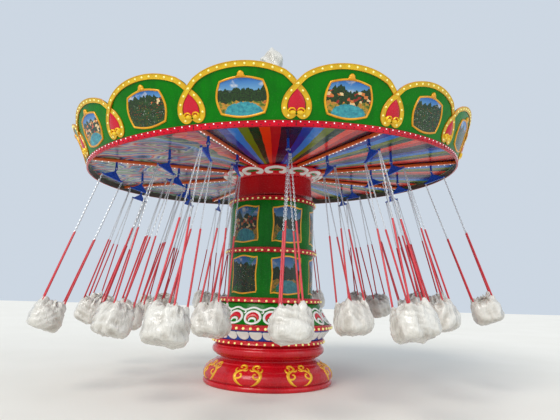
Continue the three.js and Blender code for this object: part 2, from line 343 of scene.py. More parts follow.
def rounded(corners, cuts=2):
    """A moulding's profile with its corners cut: each cut puts points at a quarter and three quarters
    of every side, and keeps the two ends."""
    line = np.asarray(corners, float)
    for _ in range(cuts):
        low = 0.75 * line[:-1] + 0.25 * line[1:]
        high = 0.25 * line[:-1] + 0.75 * line[1:]
        between = np.stack([low, high], axis=1).reshape(-1, 2)
        line = np.concatenate([line[:1], between, line[-1:]])
    return line


def beside(line, closed=False):
    """Unit steps to the right of a drawn line: the way from each point's one neighbour to its other,
    turned a quarter round."""
    run = np.roll(line, -1, 0) - np.roll(line, 1, 0) if closed else np.gradient(line, axis=0)
    side = np.stack([run[:, 1], -run[:, 0]], axis=1)
    return side / np.linalg.norm(side, axis=1, keepdims=True)


def ribbon(line, width, rise, section, closed=False):
    """Carries a section along a drawn line: a point goes sideways by half the width times the
    section's first number, and out by the rise times its second."""
    line = np.asarray(line, float)
    half = np.broadcast_to(width, len(line))[:, None, None] / 2
    flat = line[:, None] + beside(line, closed)[:, None] * section[None, :, :1] * half
    out = section[None, :, 1] * np.broadcast_to(rise, len(line))[:, None]
    grid = np.concatenate([flat, out[..., None]], axis=-1)
    return skin(grid, around=True, along=closed, first=not closed, last=not closed)


def together(shapes):
    """Several shapes as one."""
    points = np.concatenate([p for p, _ in shapes])
    starts = np.cumsum([0] + [len(p) for p, _ in shapes])
    return points, [f + s for s, (_, faces) in zip(starts, shapes) for f in faces]


def mirrored(shape):
    """The shape on the other side of its middle line."""
    points, faces = shape
    return points * np.array([-1.0, 1.0, 1.0]), [f[:, ::-1] for f in faces]


def gloss(name, light, dark, streaks=0.35, coat=0.22, shine=0.35):
    """Sprayed gloss on glass fibre: patches and faint runs of a darker tone, dust that dulls the
    gloss, and the slow waves of a moulding in its reflections."""
    made = Finish(name, Coat_Weight=coat, Coat_Roughness=0.07, Specular_IOR_Level=shine)
    patches = made.noise(made.place(), 1.6, detail=4.0)
    runs = made.noise(made.place(stretch=(9.0, 9.0, 0.9)), 1.0, detail=5.0, roughness=0.6)
    dust = made.noise(made.place(), 38.0, detail=6.0, roughness=0.7)
    share = made.held((patches - 0.42) * 2.2 + (runs - 0.5) * (3.0 * streaks))
    colour = made.mix(share, light, dark)
    grimy = made.mix(made.held((dust - 0.62) * 2.4), colour, (120, 104, 90))
    height = made.noise(made.place(), 2.3, detail=2.0)
    normal = made.bump(height, 0.048, 0.35)
    rough = 0.2 + 0.22 * made.held((dust - 0.35) * 1.6)
    return made.surface(Base_Color=grimy, Roughness=rough, Normal=normal)


def gold(name, light, dark):
    """Gold-coloured enamel: it shifts between a yellow and an orange tone, with brush marks."""
    made = Finish(name, Metallic=0.25, Coat_Weight=0.2, Coat_Roughness=0.12)
    tone = made.noise(made.place(), 7.0, detail=4.0)
    marks = made.noise(made.place(stretch=(1.0, 1.0, 0.35)), 90.0, detail=2.0)
    colour = made.mix(made.held((tone - 0.35) * 2.4), light, dark)
    normal = made.bump(marks, 0.0015, 0.5)
    return made.surface(Base_Color=colour, Roughness=0.26 + 0.2 * tone, Normal=normal)


HALF_ROUND = np.array(
    [(1, -0.6), (0.97, 0.25), (0.7, 0.75), (0, 1), (-0.7, 0.75), (-0.97, 0.25), (-1, -0.6)]
)
COLUMN_SIDES = 160
PLINTH = rounded(
    [
        (1.232, 0.0), (1.25, 0.004), (1.262, 0.03), (1.262, 0.062), (1.246, 0.088), (1.224, 0.094),
        (1.222, 0.108), (1.252, 0.114), (1.264, 0.15), (1.262, 0.215), (1.236, 0.275), (1.188, 0.325),
        (1.12, 0.372), (1.06, 0.4), (1.046, 0.412), (1.038, 0.428), (0.968, 0.446), (0.94, 0.47),
        (0.946, 0.498), (0.998, 0.518), (1.03, 0.528), (1.036, 0.55), (1.076, 0.566), (1.102, 0.598),
        (1.108, 0.64), (1.1, 0.682), (1.07, 0.705), (1.066, 0.722), (1.04, 0.745), (1.03, 0.769),
    ]
)
PLINTH_PAIRS = 8
FIRST_PAIR = np.radians(-17.3)
SCROLL_FOOT = 0.155
SCROLL_HEIGHT_SCALE = 0.94
SCROLL_WIDTH_SCALE = 1.35

red_gloss = gloss("red_gloss", (196, 14, 28), (150, 6, 18))
yellow_gold = gold("scroll_gold", (238, 186, 30), (214, 148, 22))
plinth = Round(PLINTH)
made = piece("plinth_moulding", "column", "red_gloss", red_gloss, plinth.body(COLUMN_SIDES))
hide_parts("base_plinth")


def scroll(points, widths, rise=0.012):
    """One leaf of a scroll: a half-round ribbon along a smooth line, as wide as its widths say."""
    line = smooth_line(points, 30)
    width = smooth_line(np.array(widths)[:, None], 30)[:, 0]
    return ribbon(line, width, rise * (0.35 + 0.65 * width / max(widths)), HALF_ROUND)


scroll_leaves = [
    (
        [(0.07, 0), (0.15, 0.04), (0.222, 0.115), (0.238, 0.205), (0.185, 0.28), (0.105, 0.325),
         (0.062, 0.385), (0.088, 0.445), (0.15, 0.447), (0.168, 0.4), (0.132, 0.378)],
        [0.004, 0.026, 0.042, 0.044, 0.036, 0.03, 0.032, 0.034, 0.03, 0.026, 0.022],
    ),
    ([(0.2, 0.25), (0.236, 0.292), (0.242, 0.34), (0.222, 0.372)], [0.03, 0.03, 0.018, 0.004]),
    (
        [(0.226, 0.14), (0.16, 0.138), (0.112, 0.176), (0.122, 0.226), (0.156, 0.22)],
        [0.03, 0.026, 0.026, 0.024, 0.016],
    ),
    ([(0.12, 0.318), (0.068, 0.304), (0.03, 0.322), (0.016, 0.352)], [0.03, 0.028, 0.02, 0.004]),
    ([(0.168, 0.262), (0.16, 0.305), (0.182, 0.338)], [0.02, 0.024, 0.004]),
]
leaves = [scroll(points, SCROLL_WIDTH_SCALE * np.array(widths)) for points, widths in scroll_leaves]
half_pair = together(leaves)
half_pair[0][:, 1] = SCROLL_FOOT + SCROLL_HEIGHT_SCALE * half_pair[0][:, 1]
pair_turns = FIRST_PAIR + all_round(PLINTH_PAIRS)
pair = together([half_pair, mirrored(half_pair)])
piece("plinth_scrolls", "column", None, yellow_gold, plinth.lay(pair, pair_turns), sharp=60.0)

# Rails: the column's stages part at turned red rings with a row of cream lamps, on a face that is
# tipped up a little. The lamps are glass-fibre-backed domes that push into the ring.
RAILS = [
    # name, radius, bottom, top, lamps, lamp radius
    ("base_rail", 1.12, 0.77, 0.85, 48, 0.021),
    ("waist_rail", 1.265, 1.04, 1.14, 58, 0.026),
    ("band_rail", 1.05, 1.53, 1.625, 48, 0.022),
    ("middle_rail", 0.93, 2.47, 2.57, 48, 0.022),
    ("top_rail", 0.905, 3.48, 3.575, 48, 0.021),
]
RAIL_LEDGE = 0.07
LAMP_LINE = 0.47
DOME_SIDES = 8


def turned_grid(rings, sides):
    """A grid of points: rings of a radius and a height, each swung all round the upright axis."""
    turn = all_round(sides)
    x = rings[:, :1] * np.cos(turn)
    y = rings[:, :1] * np.sin(turn)
    return np.stack([x, y, np.repeat(rings[:, 1:], sides, axis=1)], axis=-1)


def strewn(shape, spots, size):
    """A small shape at each drawn spot, scaled to a size."""
    points, faces = shape
    centres = np.asarray(spots, float)
    if centres.shape[1] == 2:
        centres = np.column_stack([centres, np.zeros(len(centres))])
    return repeated(centres[:, None] + size * points[None], faces)


DOME_RINGS = np.array([(1.12, -0.2), (1.0, 0.25), (0.78, 0.68), (0.4, 0.93)])
DOME = skin(turned_grid(DOME_RINGS, DOME_SIDES), first=True, last=True)


def lit(name, scale, light, dark, **fixed):
    """A lamp's cover, which glows a little in the two tones that colour it."""
    made = Finish(name, **fixed)
    colour = made.mix(made.noise(made.place(), scale), light, dark)
    return made.surface(Base_Color=colour, Emission_Color=colour)


cream_glow = {"Roughness": 0.18, "Coat_Weight": 0.6, "Emission_Strength": 0.16}
cream_lamp = lit("cream_lamp", 9.0, (252, 248, 178), (236, 226, 104), **cream_glow)

for name, radius, bottom, top, lamps, lamp_radius in RAILS:
    depth = top - bottom
    profile = [
        (radius - 0.05, bottom + 0.001),
        (radius - 0.012, bottom + 0.001),
        (radius, bottom + 0.1 * depth),
        (radius - 0.002, bottom + 0.2 * depth),
        (radius - 0.008, bottom + 0.23 * depth),
        (radius - 0.016, bottom + 0.77 * depth),
        (radius - 0.01, bottom + 0.8 * depth),
        (radius - 0.012, bottom + 0.92 * depth),
        (radius - 0.028, top - 0.001),
        (radius - RAIL_LEDGE, top),
    ]
    turned_rail = Round(rounded(profile, 1))
    made = piece(name + "_ring", "column", "red_gloss", red_gloss, turned_rail.body(COLUMN_SIDES))
    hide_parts(name)
    middle = turned_rail.length[-1] - RAIL_LEDGE - LAMP_LINE * depth
    spots = strewn(DOME, [(0.0, middle)], lamp_radius)
    turns = all_round(lamps, 0.5)
    piece(name + "_lamps", "column", None, cream_lamp, turned_rail.lay(spots, turns))

# Petal skirt: a flaring moulding in blue under the widest rail, and thirty white petals raised on it,
# square at the top and round at the bottom.
PETALS = 30
SKIRT = rounded(
    [(1.06, 0.851), (1.085, 0.852), (1.1, 0.89), (1.148, 0.958), (1.2, 1.012), (1.222, 1.04), (1.19, 1.0405)],
    1,
)
blue_gloss = gloss("blue_gloss", (18, 74, 164), (8, 38, 104))
white_gloss = gloss("white_gloss", (236, 236, 230), (206, 208, 204), streaks=0.2)
skirt = Round(SKIRT)
made = piece("skirt_moulding", "column", "white_gloss", blue_gloss, skirt.body(COLUMN_SIDES))
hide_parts("petal_skirt")


def plaque(outline, middle, steps):
    """Fills a drawn outline with rings: each step is a share of the way from the middle out to the
    outline, and the height there."""
    share, height = np.array(steps, float).T
    middle = np.asarray(middle, float)
    flat = middle + share[:, None, None] * (np.asarray(outline) - middle)
    out = np.broadcast_to(height[:, None, None], flat.shape[:2] + (1,))
    return skin(np.concatenate([flat, out], axis=-1), first=True, last=True)


petal_edge = smooth_line(
    [(-0.112, 0.222), (0, 0.226), (0.112, 0.222), (0.116, 0.16), (0.096, 0.095), (0.046, 0.052),
     (0, 0.044), (-0.046, 0.052), (-0.096, 0.095), (-0.116, 0.16)],
    28,
    closed=True,
)
petal_steps = [(0.1, 0.016), (0.5, 0.014), (0.85, 0.012), (0.97, 0.008), (1.0, 0.003), (1.0, -0.006)]
petal = plaque(petal_edge, (0, 0.15), petal_steps)
piece("skirt_petals", "column", "white_gloss", white_gloss, skirt.lay(petal, all_round(PETALS)))

# Scroll band: a green moulding that narrows upwards. Raised on it are twenty white rings, each round a
# red fan on a white arch, and a white line that rolls along over them.
RINGS = 20
FIRST_RING = np.radians(2.0)
BAND = rounded(
    [(1.19, 1.1405), (1.222, 1.142), (1.205, 1.158), (1.15, 1.215), (1.08, 1.33), (1.032, 1.45),
     (1.004, 1.528), (0.97, 1.529)]
)
green_gloss = gloss("green_gloss", (10, 112, 16), (4, 72, 10), streaks=0.6, coat=0.08, shine=0.16)
ornament_red = gloss("ornament_red", (206, 22, 40), (170, 10, 28), streaks=0.2)
band = Round(BAND)
made = piece("band_moulding", "column", "green_gloss", green_gloss, band.body(COLUMN_SIDES))
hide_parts("scroll_band")


def oval(middle, half_wide, half_high, count):
    """The outline of an oval about its middle."""
    turn = all_round(count)
    return np.array(middle) + np.stack([half_wide * np.cos(turn), half_high * np.sin(turn)], axis=1)


ring_turns = FIRST_RING + all_round(RINGS)
ring_line = ribbon(oval((0, 0.178), 0.143, 0.128, 40), 0.046, 0.018, HALF_ROUND, closed=True)
arch = scroll(
    [(-0.062, 0.1), (-0.052, 0.15), (0, 0.172), (0.052, 0.15), (0.062, 0.1)],
    [0.02, 0.036, 0.046, 0.036, 0.02],
    0.016,
)
roll_way = np.linspace(-1, 1, 26)
roll = np.stack([0.172 * roll_way, 0.355 + 0.024 * np.cos(np.pi * roll_way)], axis=1)
rolling = ribbon(roll, 0.038, 0.014, HALF_ROUND)
curl = scroll(
    [(-0.172, 0.335), (-0.15, 0.3), (-0.165, 0.272), (-0.19, 0.28)],
    [0.03, 0.028, 0.022, 0.014],
)
white_work = together([ring_line, arch, rolling, curl])
piece("band_rings", "column", "white_gloss", white_gloss, band.lay(white_work, ring_turns), sharp=60.0)
fan = scroll(
    [(-0.1, 0.118), (-0.088, 0.2), (0, 0.25), (0.088, 0.2), (0.1, 0.118)],
    [0.006, 0.06, 0.09, 0.06, 0.006],
    0.015,
)
piece("band_fans", "column", "red_gloss", ornament_red, band.lay(fan, ring_turns), sharp=60.0)

# Tiers: two green drums with six pictures each in thin gold frames with waved edges. The pictures are
# printed sheets, and each shows a made-up landscape of its own.
TIERS = [("lower_tier", 1.6255, 2.469), ("upper_tier", 2.5705, 3.479)]
TIER_RADIUS = 0.86
TIER_INSIDE = 0.8
TIER_LIP = 0.06
TIER_PICTURES = 6
FIRST_PICTURE = np.radians(21.0)
FIRST_TIER_NUMBER = 20
PICTURE_HALF_WIDE = 0.305
PICTURE_HALF_HIGH = 0.335
PICTURE_WAVE = 0.022


def landscape(name):
    """Printed landscapes, dealt by the number of the picture, which is the whole part of U: a lake, a
    mottled field and trees under hills, now and then with a house or a village, or a flower garden.
    Each form is the part under or inside a line that noise bends. The column's pictures are darker."""
    made = Finish(name, Coat_Weight=0.15, Coat_Roughness=0.05, Specular_IOR_Level=0.3)
    uv = made.node("TexCoord", {}, {}, output="UV")
    across, v, _ = made.parts(uv)
    number = made.maths("FLOOR", across)
    u = across - number
    chance = made.node("TexWhiteNoise", {"noise_dimensions": "1D"}, {"W": number}, output="Color")
    one, two, three = made.parts(chance)

    def rough_line(stretch, shift, detail):
        where = made.node("CombineXYZ", {}, {0: u * stretch, 1: number * 3.7 + shift})
        return made.noise(where, 1.0, detail)

    where = made.node("CombineXYZ", {}, {0: u, 1: v, 2: number * 1.9})
    mottle = made.noise(where, 9.0, 5.0, 0.75)
    speck = made.noise(where, 30.0, 3.0, 0.7)
    sky_tone = made.mix(made.held((v - 0.55) * 2.4), (120, 172, 200), (22, 98, 178))
    clouds = made.mix(made.held((made.noise(where, 4.0, 4.0) - 0.56) * 5.0), sky_tone, (226, 220, 210))
    hill = v < (0.62 + 0.3 * (rough_line(2.2, 1.0, 2.0) - 0.5) + 0.08 * one)
    hills = made.mix(mottle, (24, 58, 78), (96, 110, 84))
    trees = v < (0.67 + 0.75 * (rough_line(6.0, 5.0, 5.0) - 0.5) + 0.14 * two)
    leaves = made.mix(made.held((speck - 0.35) * 2.5), (6, 16, 12), (44, 82, 26))
    field = v < (0.38 + 0.6 * (rough_line(4.0, 9.0, 5.0) - 0.5))
    flowers = made.ramp(
        made.held((mottle - 0.3) * 2.2),
        (0.0, (22, 44, 20)),
        (0.3, (84, 112, 30)),
        (0.55, (198, 140, 48)),
        (0.85, (160, 52, 30)),
    )
    pond_side = made.maths("ABSOLUTE", u - (0.3 + 0.4 * three))
    above_pond = v - 0.14
    shore = pond_side * pond_side * 1.5 + above_pond * above_pond * 3.4
    pond = (shore + 0.1 * (speck - 0.5) + 0.12 * (mottle - 0.5)) < 0.19
    water = made.mix(made.held(mottle * 2.0 - 0.5), (2, 74, 108), (76, 184, 186))
    house_u = made.maths("ABSOLUTE", u - (0.62 - 0.3 * two))
    housed = three > 0.62
    wall = housed * (house_u < 0.085) * (made.maths("ABSOLUTE", v - 0.42) < 0.065)
    roof = housed * (house_u < 0.12) * ((v + house_u * 0.9) < 0.6) * (v > 0.485)
    square = {"distance": "CHEBYCHEV"}
    cells = made.node("TexVoronoi", square, {"Vector": where, "Scale": 14.0}, output="Color")
    chosen, hue, _ = made.parts(cells)
    village_top = 0.5 + 0.4 * rough_line(3.0, 17.0, 2.0)
    village = (chosen > 0.68) * (two > 0.35) * (v > 0.34) * (v < village_top)
    walls = made.ramp(
        hue,
        (0.0, (206, 116, 54)),
        (0.35, (228, 196, 142)),
        (0.65, (150, 40, 28)),
        (0.85, (196, 84, 50)),
        interpolation="CONSTANT",
    )
    garden = (one > 0.66) * (v < (0.72 + 0.9 * (rough_line(4.0, 13.0, 5.0) - 0.5)))
    shrubs = made.mix(made.held((mottle - 0.32) * 2.6), (5, 14, 12), (42, 84, 30))
    petals = made.ramp(
        made.held((made.noise(where, 5.0, 2.0) - 0.3) * 2.5),
        (0.0, (238, 232, 226)),
        (0.5, (214, 52, 46)),
        (0.75, (232, 168, 60)),
        interpolation="CONSTANT",
    )
    shrubs = made.mix(made.held((speck - 0.6) * 12.0), shrubs, petals)
    picture = clouds
    for form, colour in (
        (hill, hills),
        (trees, leaves),
        (village, walls),
        (wall, (214, 190, 140)),
        (roof, (172, 40, 30)),
        (field, flowers),
        (pond, water),
        (garden, shrubs),
        ((number > FIRST_TIER_NUMBER - 0.5) * 0.45, (16, 14, 16)),
    ):
        picture = made.mix(form, picture, colour)
    normal = made.bump(made.noise(made.place(), 3.0), 0.01, 0.3)
    return made.surface(Base_Color=picture, Roughness=0.16 + 0.12 * mottle, Normal=normal)


print_sheet = landscape("printed_landscapes")
frame_gold = gold("frame_gold", (236, 170, 6), (212, 132, 4))


def picture_uv(shape, middle, half_wide, half_high, first, copies):
    """U is the picture's number plus the way across it, V the way up it."""
    points = shape[0]
    u = np.clip(0.5 + 0.5 * points[:, 0] / half_wide, 0.02, 0.98)
    v = 0.5 + 0.5 * (points[:, 1] - middle) / half_high
    number = first + np.arange(copies)[:, None]
    return np.stack(np.broadcast_arrays(u + number, v), axis=-1).reshape(-1, 2)


def picture_sheet(outline, middle, height):
    """A printed sheet in eight rings at a height, with its rim turned down into the face behind."""
    steps = [(k / 8, height) for k in range(1, 9)] + [(1.0, -height)]
    return plaque(outline, (0, middle), steps)


span = np.linspace(-1, 1, 13)[:-1]
edge_wave = PICTURE_WAVE * np.cos(np.pi * span)
right_edge = PICTURE_HALF_WIDE - 0.5 * edge_wave - 0.004
picture_sides = [
    (PICTURE_HALF_WIDE * span, PICTURE_HALF_HIGH + edge_wave + 0.008 * span),
    (right_edge, -PICTURE_HALF_HIGH * span),
    (-PICTURE_HALF_WIDE * span, -PICTURE_HALF_HIGH - 0.7 * edge_wave),
    (-right_edge, PICTURE_HALF_HIGH * span),
]
picture_edge = np.concatenate([np.stack(line, axis=1) for line in picture_sides])
for tier_number, (name, bottom, top) in enumerate(TIERS):
    tier = Round([(TIER_INSIDE, bottom), (TIER_RADIUS, bottom), (TIER_RADIUS, top), (TIER_INSIDE, top)])
    made = piece(name + "_drum", "column", "green_gloss", green_gloss, tier.body(COLUMN_SIDES))
    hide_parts(name)
    middle = TIER_LIP + (top - bottom) * 0.5
    outline = picture_edge + np.array([0, middle])
    turns = FIRST_PICTURE + all_round(TIER_PICTURES)
    sheet = picture_sheet(outline, middle, 0.004)
    first = FIRST_TIER_NUMBER + TIER_PICTURES * tier_number
    uv = picture_uv(sheet, middle, PICTURE_HALF_WIDE * 1.05, PICTURE_HALF_HIGH * 1.08, first, TIER_PICTURES)
    piece(name + "_pictures", "column", None, print_sheet, tier.lay(sheet, turns), uv=uv)
    edge = ribbon(outline, 0.026, 0.014, HALF_ROUND, closed=True)
    piece(name + "_frames", "column", None, frame_gold, tier.lay(edge, turns), sharp=60.0)

# Head: everything that turns leans towards the low side, on an axis that crosses the column's axis at
# the height of the rim. It is worked out upright in the head's own frame and then carried over.
HEAD_HEIGHT = 3.62
AXIS_CROSS = 0.48
HEAD_LEAN = np.radians(3.3)
HIGH_SIDE = np.radians(135.0)
FIRST_ARM = np.radians(-18.5)
BAYS = 16
BAY = 2 * np.pi / BAYS
ARMS = 8

lean_axis = np.array([-np.cos(HIGH_SIDE), -np.sin(HIGH_SIDE), 0.0])
cross = np.cross(np.eye(3), lean_axis)
HEAD_TURN = np.cos(HEAD_LEAN) * np.eye(3) + np.sin(HEAD_LEAN) * cross
HEAD_TURN += (1 - np.cos(HEAD_LEAN)) * np.outer(lean_axis, lean_axis)
HEAD_ORIGIN = np.array([0.0, 0.0, HEAD_HEIGHT + AXIS_CROSS]) - AXIS_CROSS * HEAD_TURN[:, 2]


def on_head(points):
    return points @ HEAD_TURN.T + HEAD_ORIGIN


# Crown: a plain dark red drum turns on the bearing, whose seat is red too, and a flared scarlet cornice
# on it carries the sweeps. Twelve white ovals stand on the flare, open below, each round a green leaf.
CROWN_OVALS = 12
FIRST_OVAL = np.radians(2.5)
DRUM = [(0.7, 0.03), (0.815, 0.031), (0.818, 0.05), (0.8, 0.056), (0.8, 0.4), (0.7, 0.405)]
CORNICE = rounded(
    [(0.75, 0.406), (0.822, 0.407), (0.83, 0.42), (0.845, 0.44), (0.92, 0.49), (1.03, 0.522),
     (1.053, 0.531), (1.055, 0.55), (1.052, 0.578), (0.9, 0.5795)]
)
deep_red = gloss("deep_red", (186, 8, 16), (150, 4, 10), streaks=0.5, coat=0.1, shine=0.2)
bright_red = gloss("bright_red", (214, 24, 36), (176, 12, 26), streaks=0.2)
leaf_green = gloss("leaf_green", (24, 110, 34), (10, 72, 24), streaks=0.2)
drum = Round(DRUM, on_head)
made = piece("crown_drum_shell", "canopy", "crimson", deep_red, drum.body(COLUMN_SIDES))
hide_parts("crown_drum")
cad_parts["bearing_seat"].material_slots[0].material = deep_red
cornice = Round(CORNICE, on_head)
made = piece("crown_cornice_moulding", "canopy", "red_gloss", bright_red, cornice.body(COLUMN_SIDES))
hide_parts("crown_cornice")
crown_turns = FIRST_OVAL + all_round(CROWN_OVALS)
horseshoe = scroll(
    [(-0.06, 0.142), (-0.1, 0.13), (-0.158, 0.142), (-0.186, 0.2), (-0.14, 0.268), (0, 0.302),
     (0.14, 0.268), (0.186, 0.2), (0.158, 0.142), (0.1, 0.13), (0.06, 0.142)],
    [0.035, 0.06, 0.084, 0.094, 0.09, 0.084, 0.09, 0.094, 0.084, 0.06, 0.035],
    0.018,
)
piece("crown_ovals", "canopy", "white_gloss", white_gloss, cornice.lay(horseshoe, crown_turns), sharp=60.0)
leaf_steps = [(0.1, 0.014), (0.5, 0.012), (0.85, 0.008), (1.0, 0.002), (1.0, -0.006)]
leaf = plaque(oval((0, 0.2), 0.112, 0.032, 40), (0, 0.2), leaf_steps)
piece("crown_leaves", "canopy", "green_gloss", leaf_green, cornice.lay(leaf, crown_turns))

# Sweeps: eight slim arms in an orange-red paint, chipped here and there, with one row of white lamps
# under each. Blue forks hang from the arms and, between them, from the ceiling.
ARM_INSIDE = 1.05
ARM_OUTSIDE = 3.654
ARM_FOOT = 0.521
ARM_HEAD = 0.5795
ARM_WIDE = 0.056
ARM_LAMPS_FROM = 1.14
ARM_LAMPS_TO = 3.62
ARM_LAMP_GAP = 0.11
ARM_LAMP_RADIUS = 0.0125
FORK_ROOM = 0.045
POST_WIDE = 0.038
YOKE_WIDE = 0.05
YOKE_DEEP = 0.04
EAR_OUT = 0.0204
EAR_THICK = 0.0098
OUTER_PIVOT = 3.2
MIDDLE_PIVOT = 2.72
INNER_PIVOT = 2.05
PIVOT_HEIGHT = 0.4
sweep_paint = Finish("sweep_paint", Coat_Weight=0.35, Coat_Roughness=0.1)
chips = sweep_paint.held((sweep_paint.noise(sweep_paint.place(), 26.0, 5.0, 0.7) - 0.68) * 14.0)
tone = sweep_paint.mix(sweep_paint.noise(sweep_paint.place(), 3.0), (230, 108, 24), (202, 66, 16))
orange_red = sweep_paint.surface(
    Base_Color=sweep_paint.mix(chips, tone, (116, 92, 74)),
    Roughness=0.28 + 0.3 * chips,
    Normal=sweep_paint.bump(sweep_paint.noise(sweep_paint.place(), 60.0), 0.0008, 0.4),
)
hanger_blue = gloss("hanger_blue", (12, 70, 176), (6, 44, 132), streaks=0.3, coat=0.25)
white_glow = {"Roughness": 0.2, "Emission_Strength": 0.5}
white_lamp = lit("white_led", 14.0, (255, 255, 252), (226, 236, 240), **white_glow)
arm_turns = FIRST_ARM + all_round(ARMS)
bay_turns = FIRST_ARM + all_round(BAYS)


def bar_of(start, end, wide, deep, across):
    """A straight bar with its four edges cut: eight corners carried from one end to the other."""
    start, end, across = (np.array(v, float) for v in (start, end, across))
    run = (end - start) / np.linalg.norm(end - start)
    other = np.cross(run, across)
    cut = 0.22 * min(wide, deep)
    a, b = wide / 2, deep / 2
    section = np.array(
        [(a, b - cut), (a - cut, b), (cut - a, b), (-a, b - cut),
         (-a, cut - b), (cut - a, -b), (a - cut, -b), (a, cut - b)]
    )
    ring = section[:, :1] * across + section[:, 1:] * other
    return skin(np.stack([start + ring, end + ring]), first=True, last=True)


def under_arms(shape, turns, height):
    """Hangs a shape drawn as (outwards, sideways, down) under every arm: it is swung round the axis."""
    points, faces = shape
    r, s, z = points.T
    turn = np.asarray(turns)[:, None]
    x = r * np.sin(turn) + s * np.cos(turn)
    y = -r * np.cos(turn) + s * np.sin(turn)
    placed = np.stack(np.broadcast_arrays(x, y, height - z), axis=-1)
    return repeated(on_head(placed.reshape(-1, 3)).reshape(placed.shape), faces)


arm_depth = ARM_HEAD - ARM_FOOT
beam_ends = [(radius, 0, arm_depth / 2) for radius in (ARM_INSIDE, ARM_OUTSIDE)]
beam = bar_of(*beam_ends, ARM_WIDE, arm_depth, (0, 1, 0))
for number, turn in enumerate(arm_turns):
    placed = under_arms(beam, [turn], ARM_HEAD)
    made = piece(f"sweep_beam_{number + 1}", "canopy", "orange_red", orange_red, placed)
    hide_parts(f"sweep_arm_{number + 1}")
led_r = np.arange(ARM_LAMPS_FROM, ARM_LAMPS_TO, ARM_LAMP_GAP)
led_r = led_r[(np.abs(led_r - INNER_PIVOT) > FORK_ROOM) & (np.abs(led_r - OUTER_PIVOT) > FORK_ROOM)]
leds = strewn(DOME, np.stack([led_r, np.zeros(len(led_r))], axis=1), ARM_LAMP_RADIUS)
piece("arm_lamps", "canopy", None, white_lamp, under_arms(leds, arm_turns, ARM_FOOT))


def fork(radius, head):
    """A post with a yoke under it, whose two ears hold the pin of a hanger. It hangs from the height of
    head, drawn as under_arms takes it."""
    pin = PIVOT_HEIGHT - head
    sizes = [
        # sideways place, foot, top, width, depth
        (0, pin + 0.045, 0, POST_WIDE, POST_WIDE),
        (0, pin + 0.03, pin + 0.048, YOKE_WIDE, YOKE_DEEP),
        (-EAR_OUT, pin - 0.02, pin + 0.034, EAR_THICK, YOKE_DEEP),
        (EAR_OUT, pin - 0.02, pin + 0.034, EAR_THICK, YOKE_DEEP),
    ]
    across = (0, 1, 0)
    bars = [bar_of((radius, s, low), (radius, s, high), w, d, across) for s, low, high, w, d in sizes]
    points, faces = together(bars)
    return points * np.array([1.0, 1.0, -1.0]), faces


arm_forks = together([fork(OUTER_PIVOT, ARM_FOOT), fork(INNER_PIVOT, ARM_FOOT)])
piece("arm_forks", "canopy", "royal_blue", hanger_blue, under_arms(arm_forks, arm_turns, ARM_FOOT))
ceiling_fork = under_arms(fork(MIDDLE_PIVOT, ARM_HEAD), arm_turns + BAY, ARM_HEAD)
made = piece("ceiling_forks", "canopy", "royal_blue", hanger_blue, ceiling_fork)
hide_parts(*[f"middle_fork_{number + 1}" for number in range(ARMS)])

# Ceiling lining: one glossy sheet over the sweeps, printed in radial stripes of eight colours that come
# once in every bay. It sags a little between its fixings. The stripes are deep and straight but for the
# left side, where a painted reflection bends them and breaks them up into marbled, paler waves.
LINING_RADIUS = 3.648
LINING_FOOT = 0.5806
LINING_THICK = 0.006
LINING_SAG = 0.014
LINING_SIDES = 192
LINING_RINGS = 40
STRIPES = [
    (14, 6, 62), (6, 36, 146), (34, 116, 204), (100, 116, 8),
    (2, 46, 26), (226, 48, 8), (176, 6, 22), (38, 4, 36),
]
lining_paint = Finish("striped_lining", Coat_Weight=0.04, Coat_Roughness=0.05, Specular_IOR_Level=0.1)
level_turn = Matrix(HEAD_TURN.T.tolist())
level_shift = -HEAD_TURN.T @ HEAD_ORIGIN
upright = lining_paint.place(turn=tuple(level_turn.to_euler()), shift=tuple(level_shift.tolist()))
lining_x, lining_y, _ = lining_paint.parts(upright)
lining_out = lining_paint.maths("SQRT", lining_x * lining_x + lining_y * lining_y)
azimuth = lining_paint.maths("ARCTAN2", lining_x, 0.0 - lining_y)
in_round = (azimuth - FIRST_ARM) * (1 / BAY) + 32.0
waves = lining_paint.noise(lining_paint.place(stretch=(0.8, 1.6, 1.0)), 1.0, 1.0, 0.5)
threads = lining_paint.noise(lining_paint.place(stretch=(0.7, 1.5, 1.0)), 4.0, 3.0, 0.6)
# Painted reflection: on the left side the stripes bend and give way to pale marbled waves, which stand for
# the surroundings mirrored in the gloss.
leftness = lining_paint.held(0.1 - 1.5 * lining_paint.maths("SINE", azimuth + 0.3))
painted_reflection_share = lining_paint.held((lining_out - 1.25) * 0.9) * leftness
bent = in_round + (0.03 + painted_reflection_share) * ((waves - 0.5) * 1.6 + (threads - 0.5) * 0.3)
stripe_stops = [(k / len(STRIPES), colour) for k, colour in enumerate(STRIPES)]
stripe = lining_paint.ramp(lining_paint.maths("FRACT", bent), *stripe_stops, interpolation="CONSTANT")
painted_reflection = lining_paint.ramp(
    lining_paint.maths("FRACT", waves * 6.0 + threads * 0.16),
    (0.0, (196, 202, 190)),
    (0.18, (30, 116, 46)),
    (0.28, (170, 178, 172)),
    (0.42, (6, 10, 66)),
    (0.54, (60, 134, 178)),
    (0.66, (196, 36, 18)),
    (0.76, (190, 186, 172)),
    (0.9, (14, 66, 158)),
)
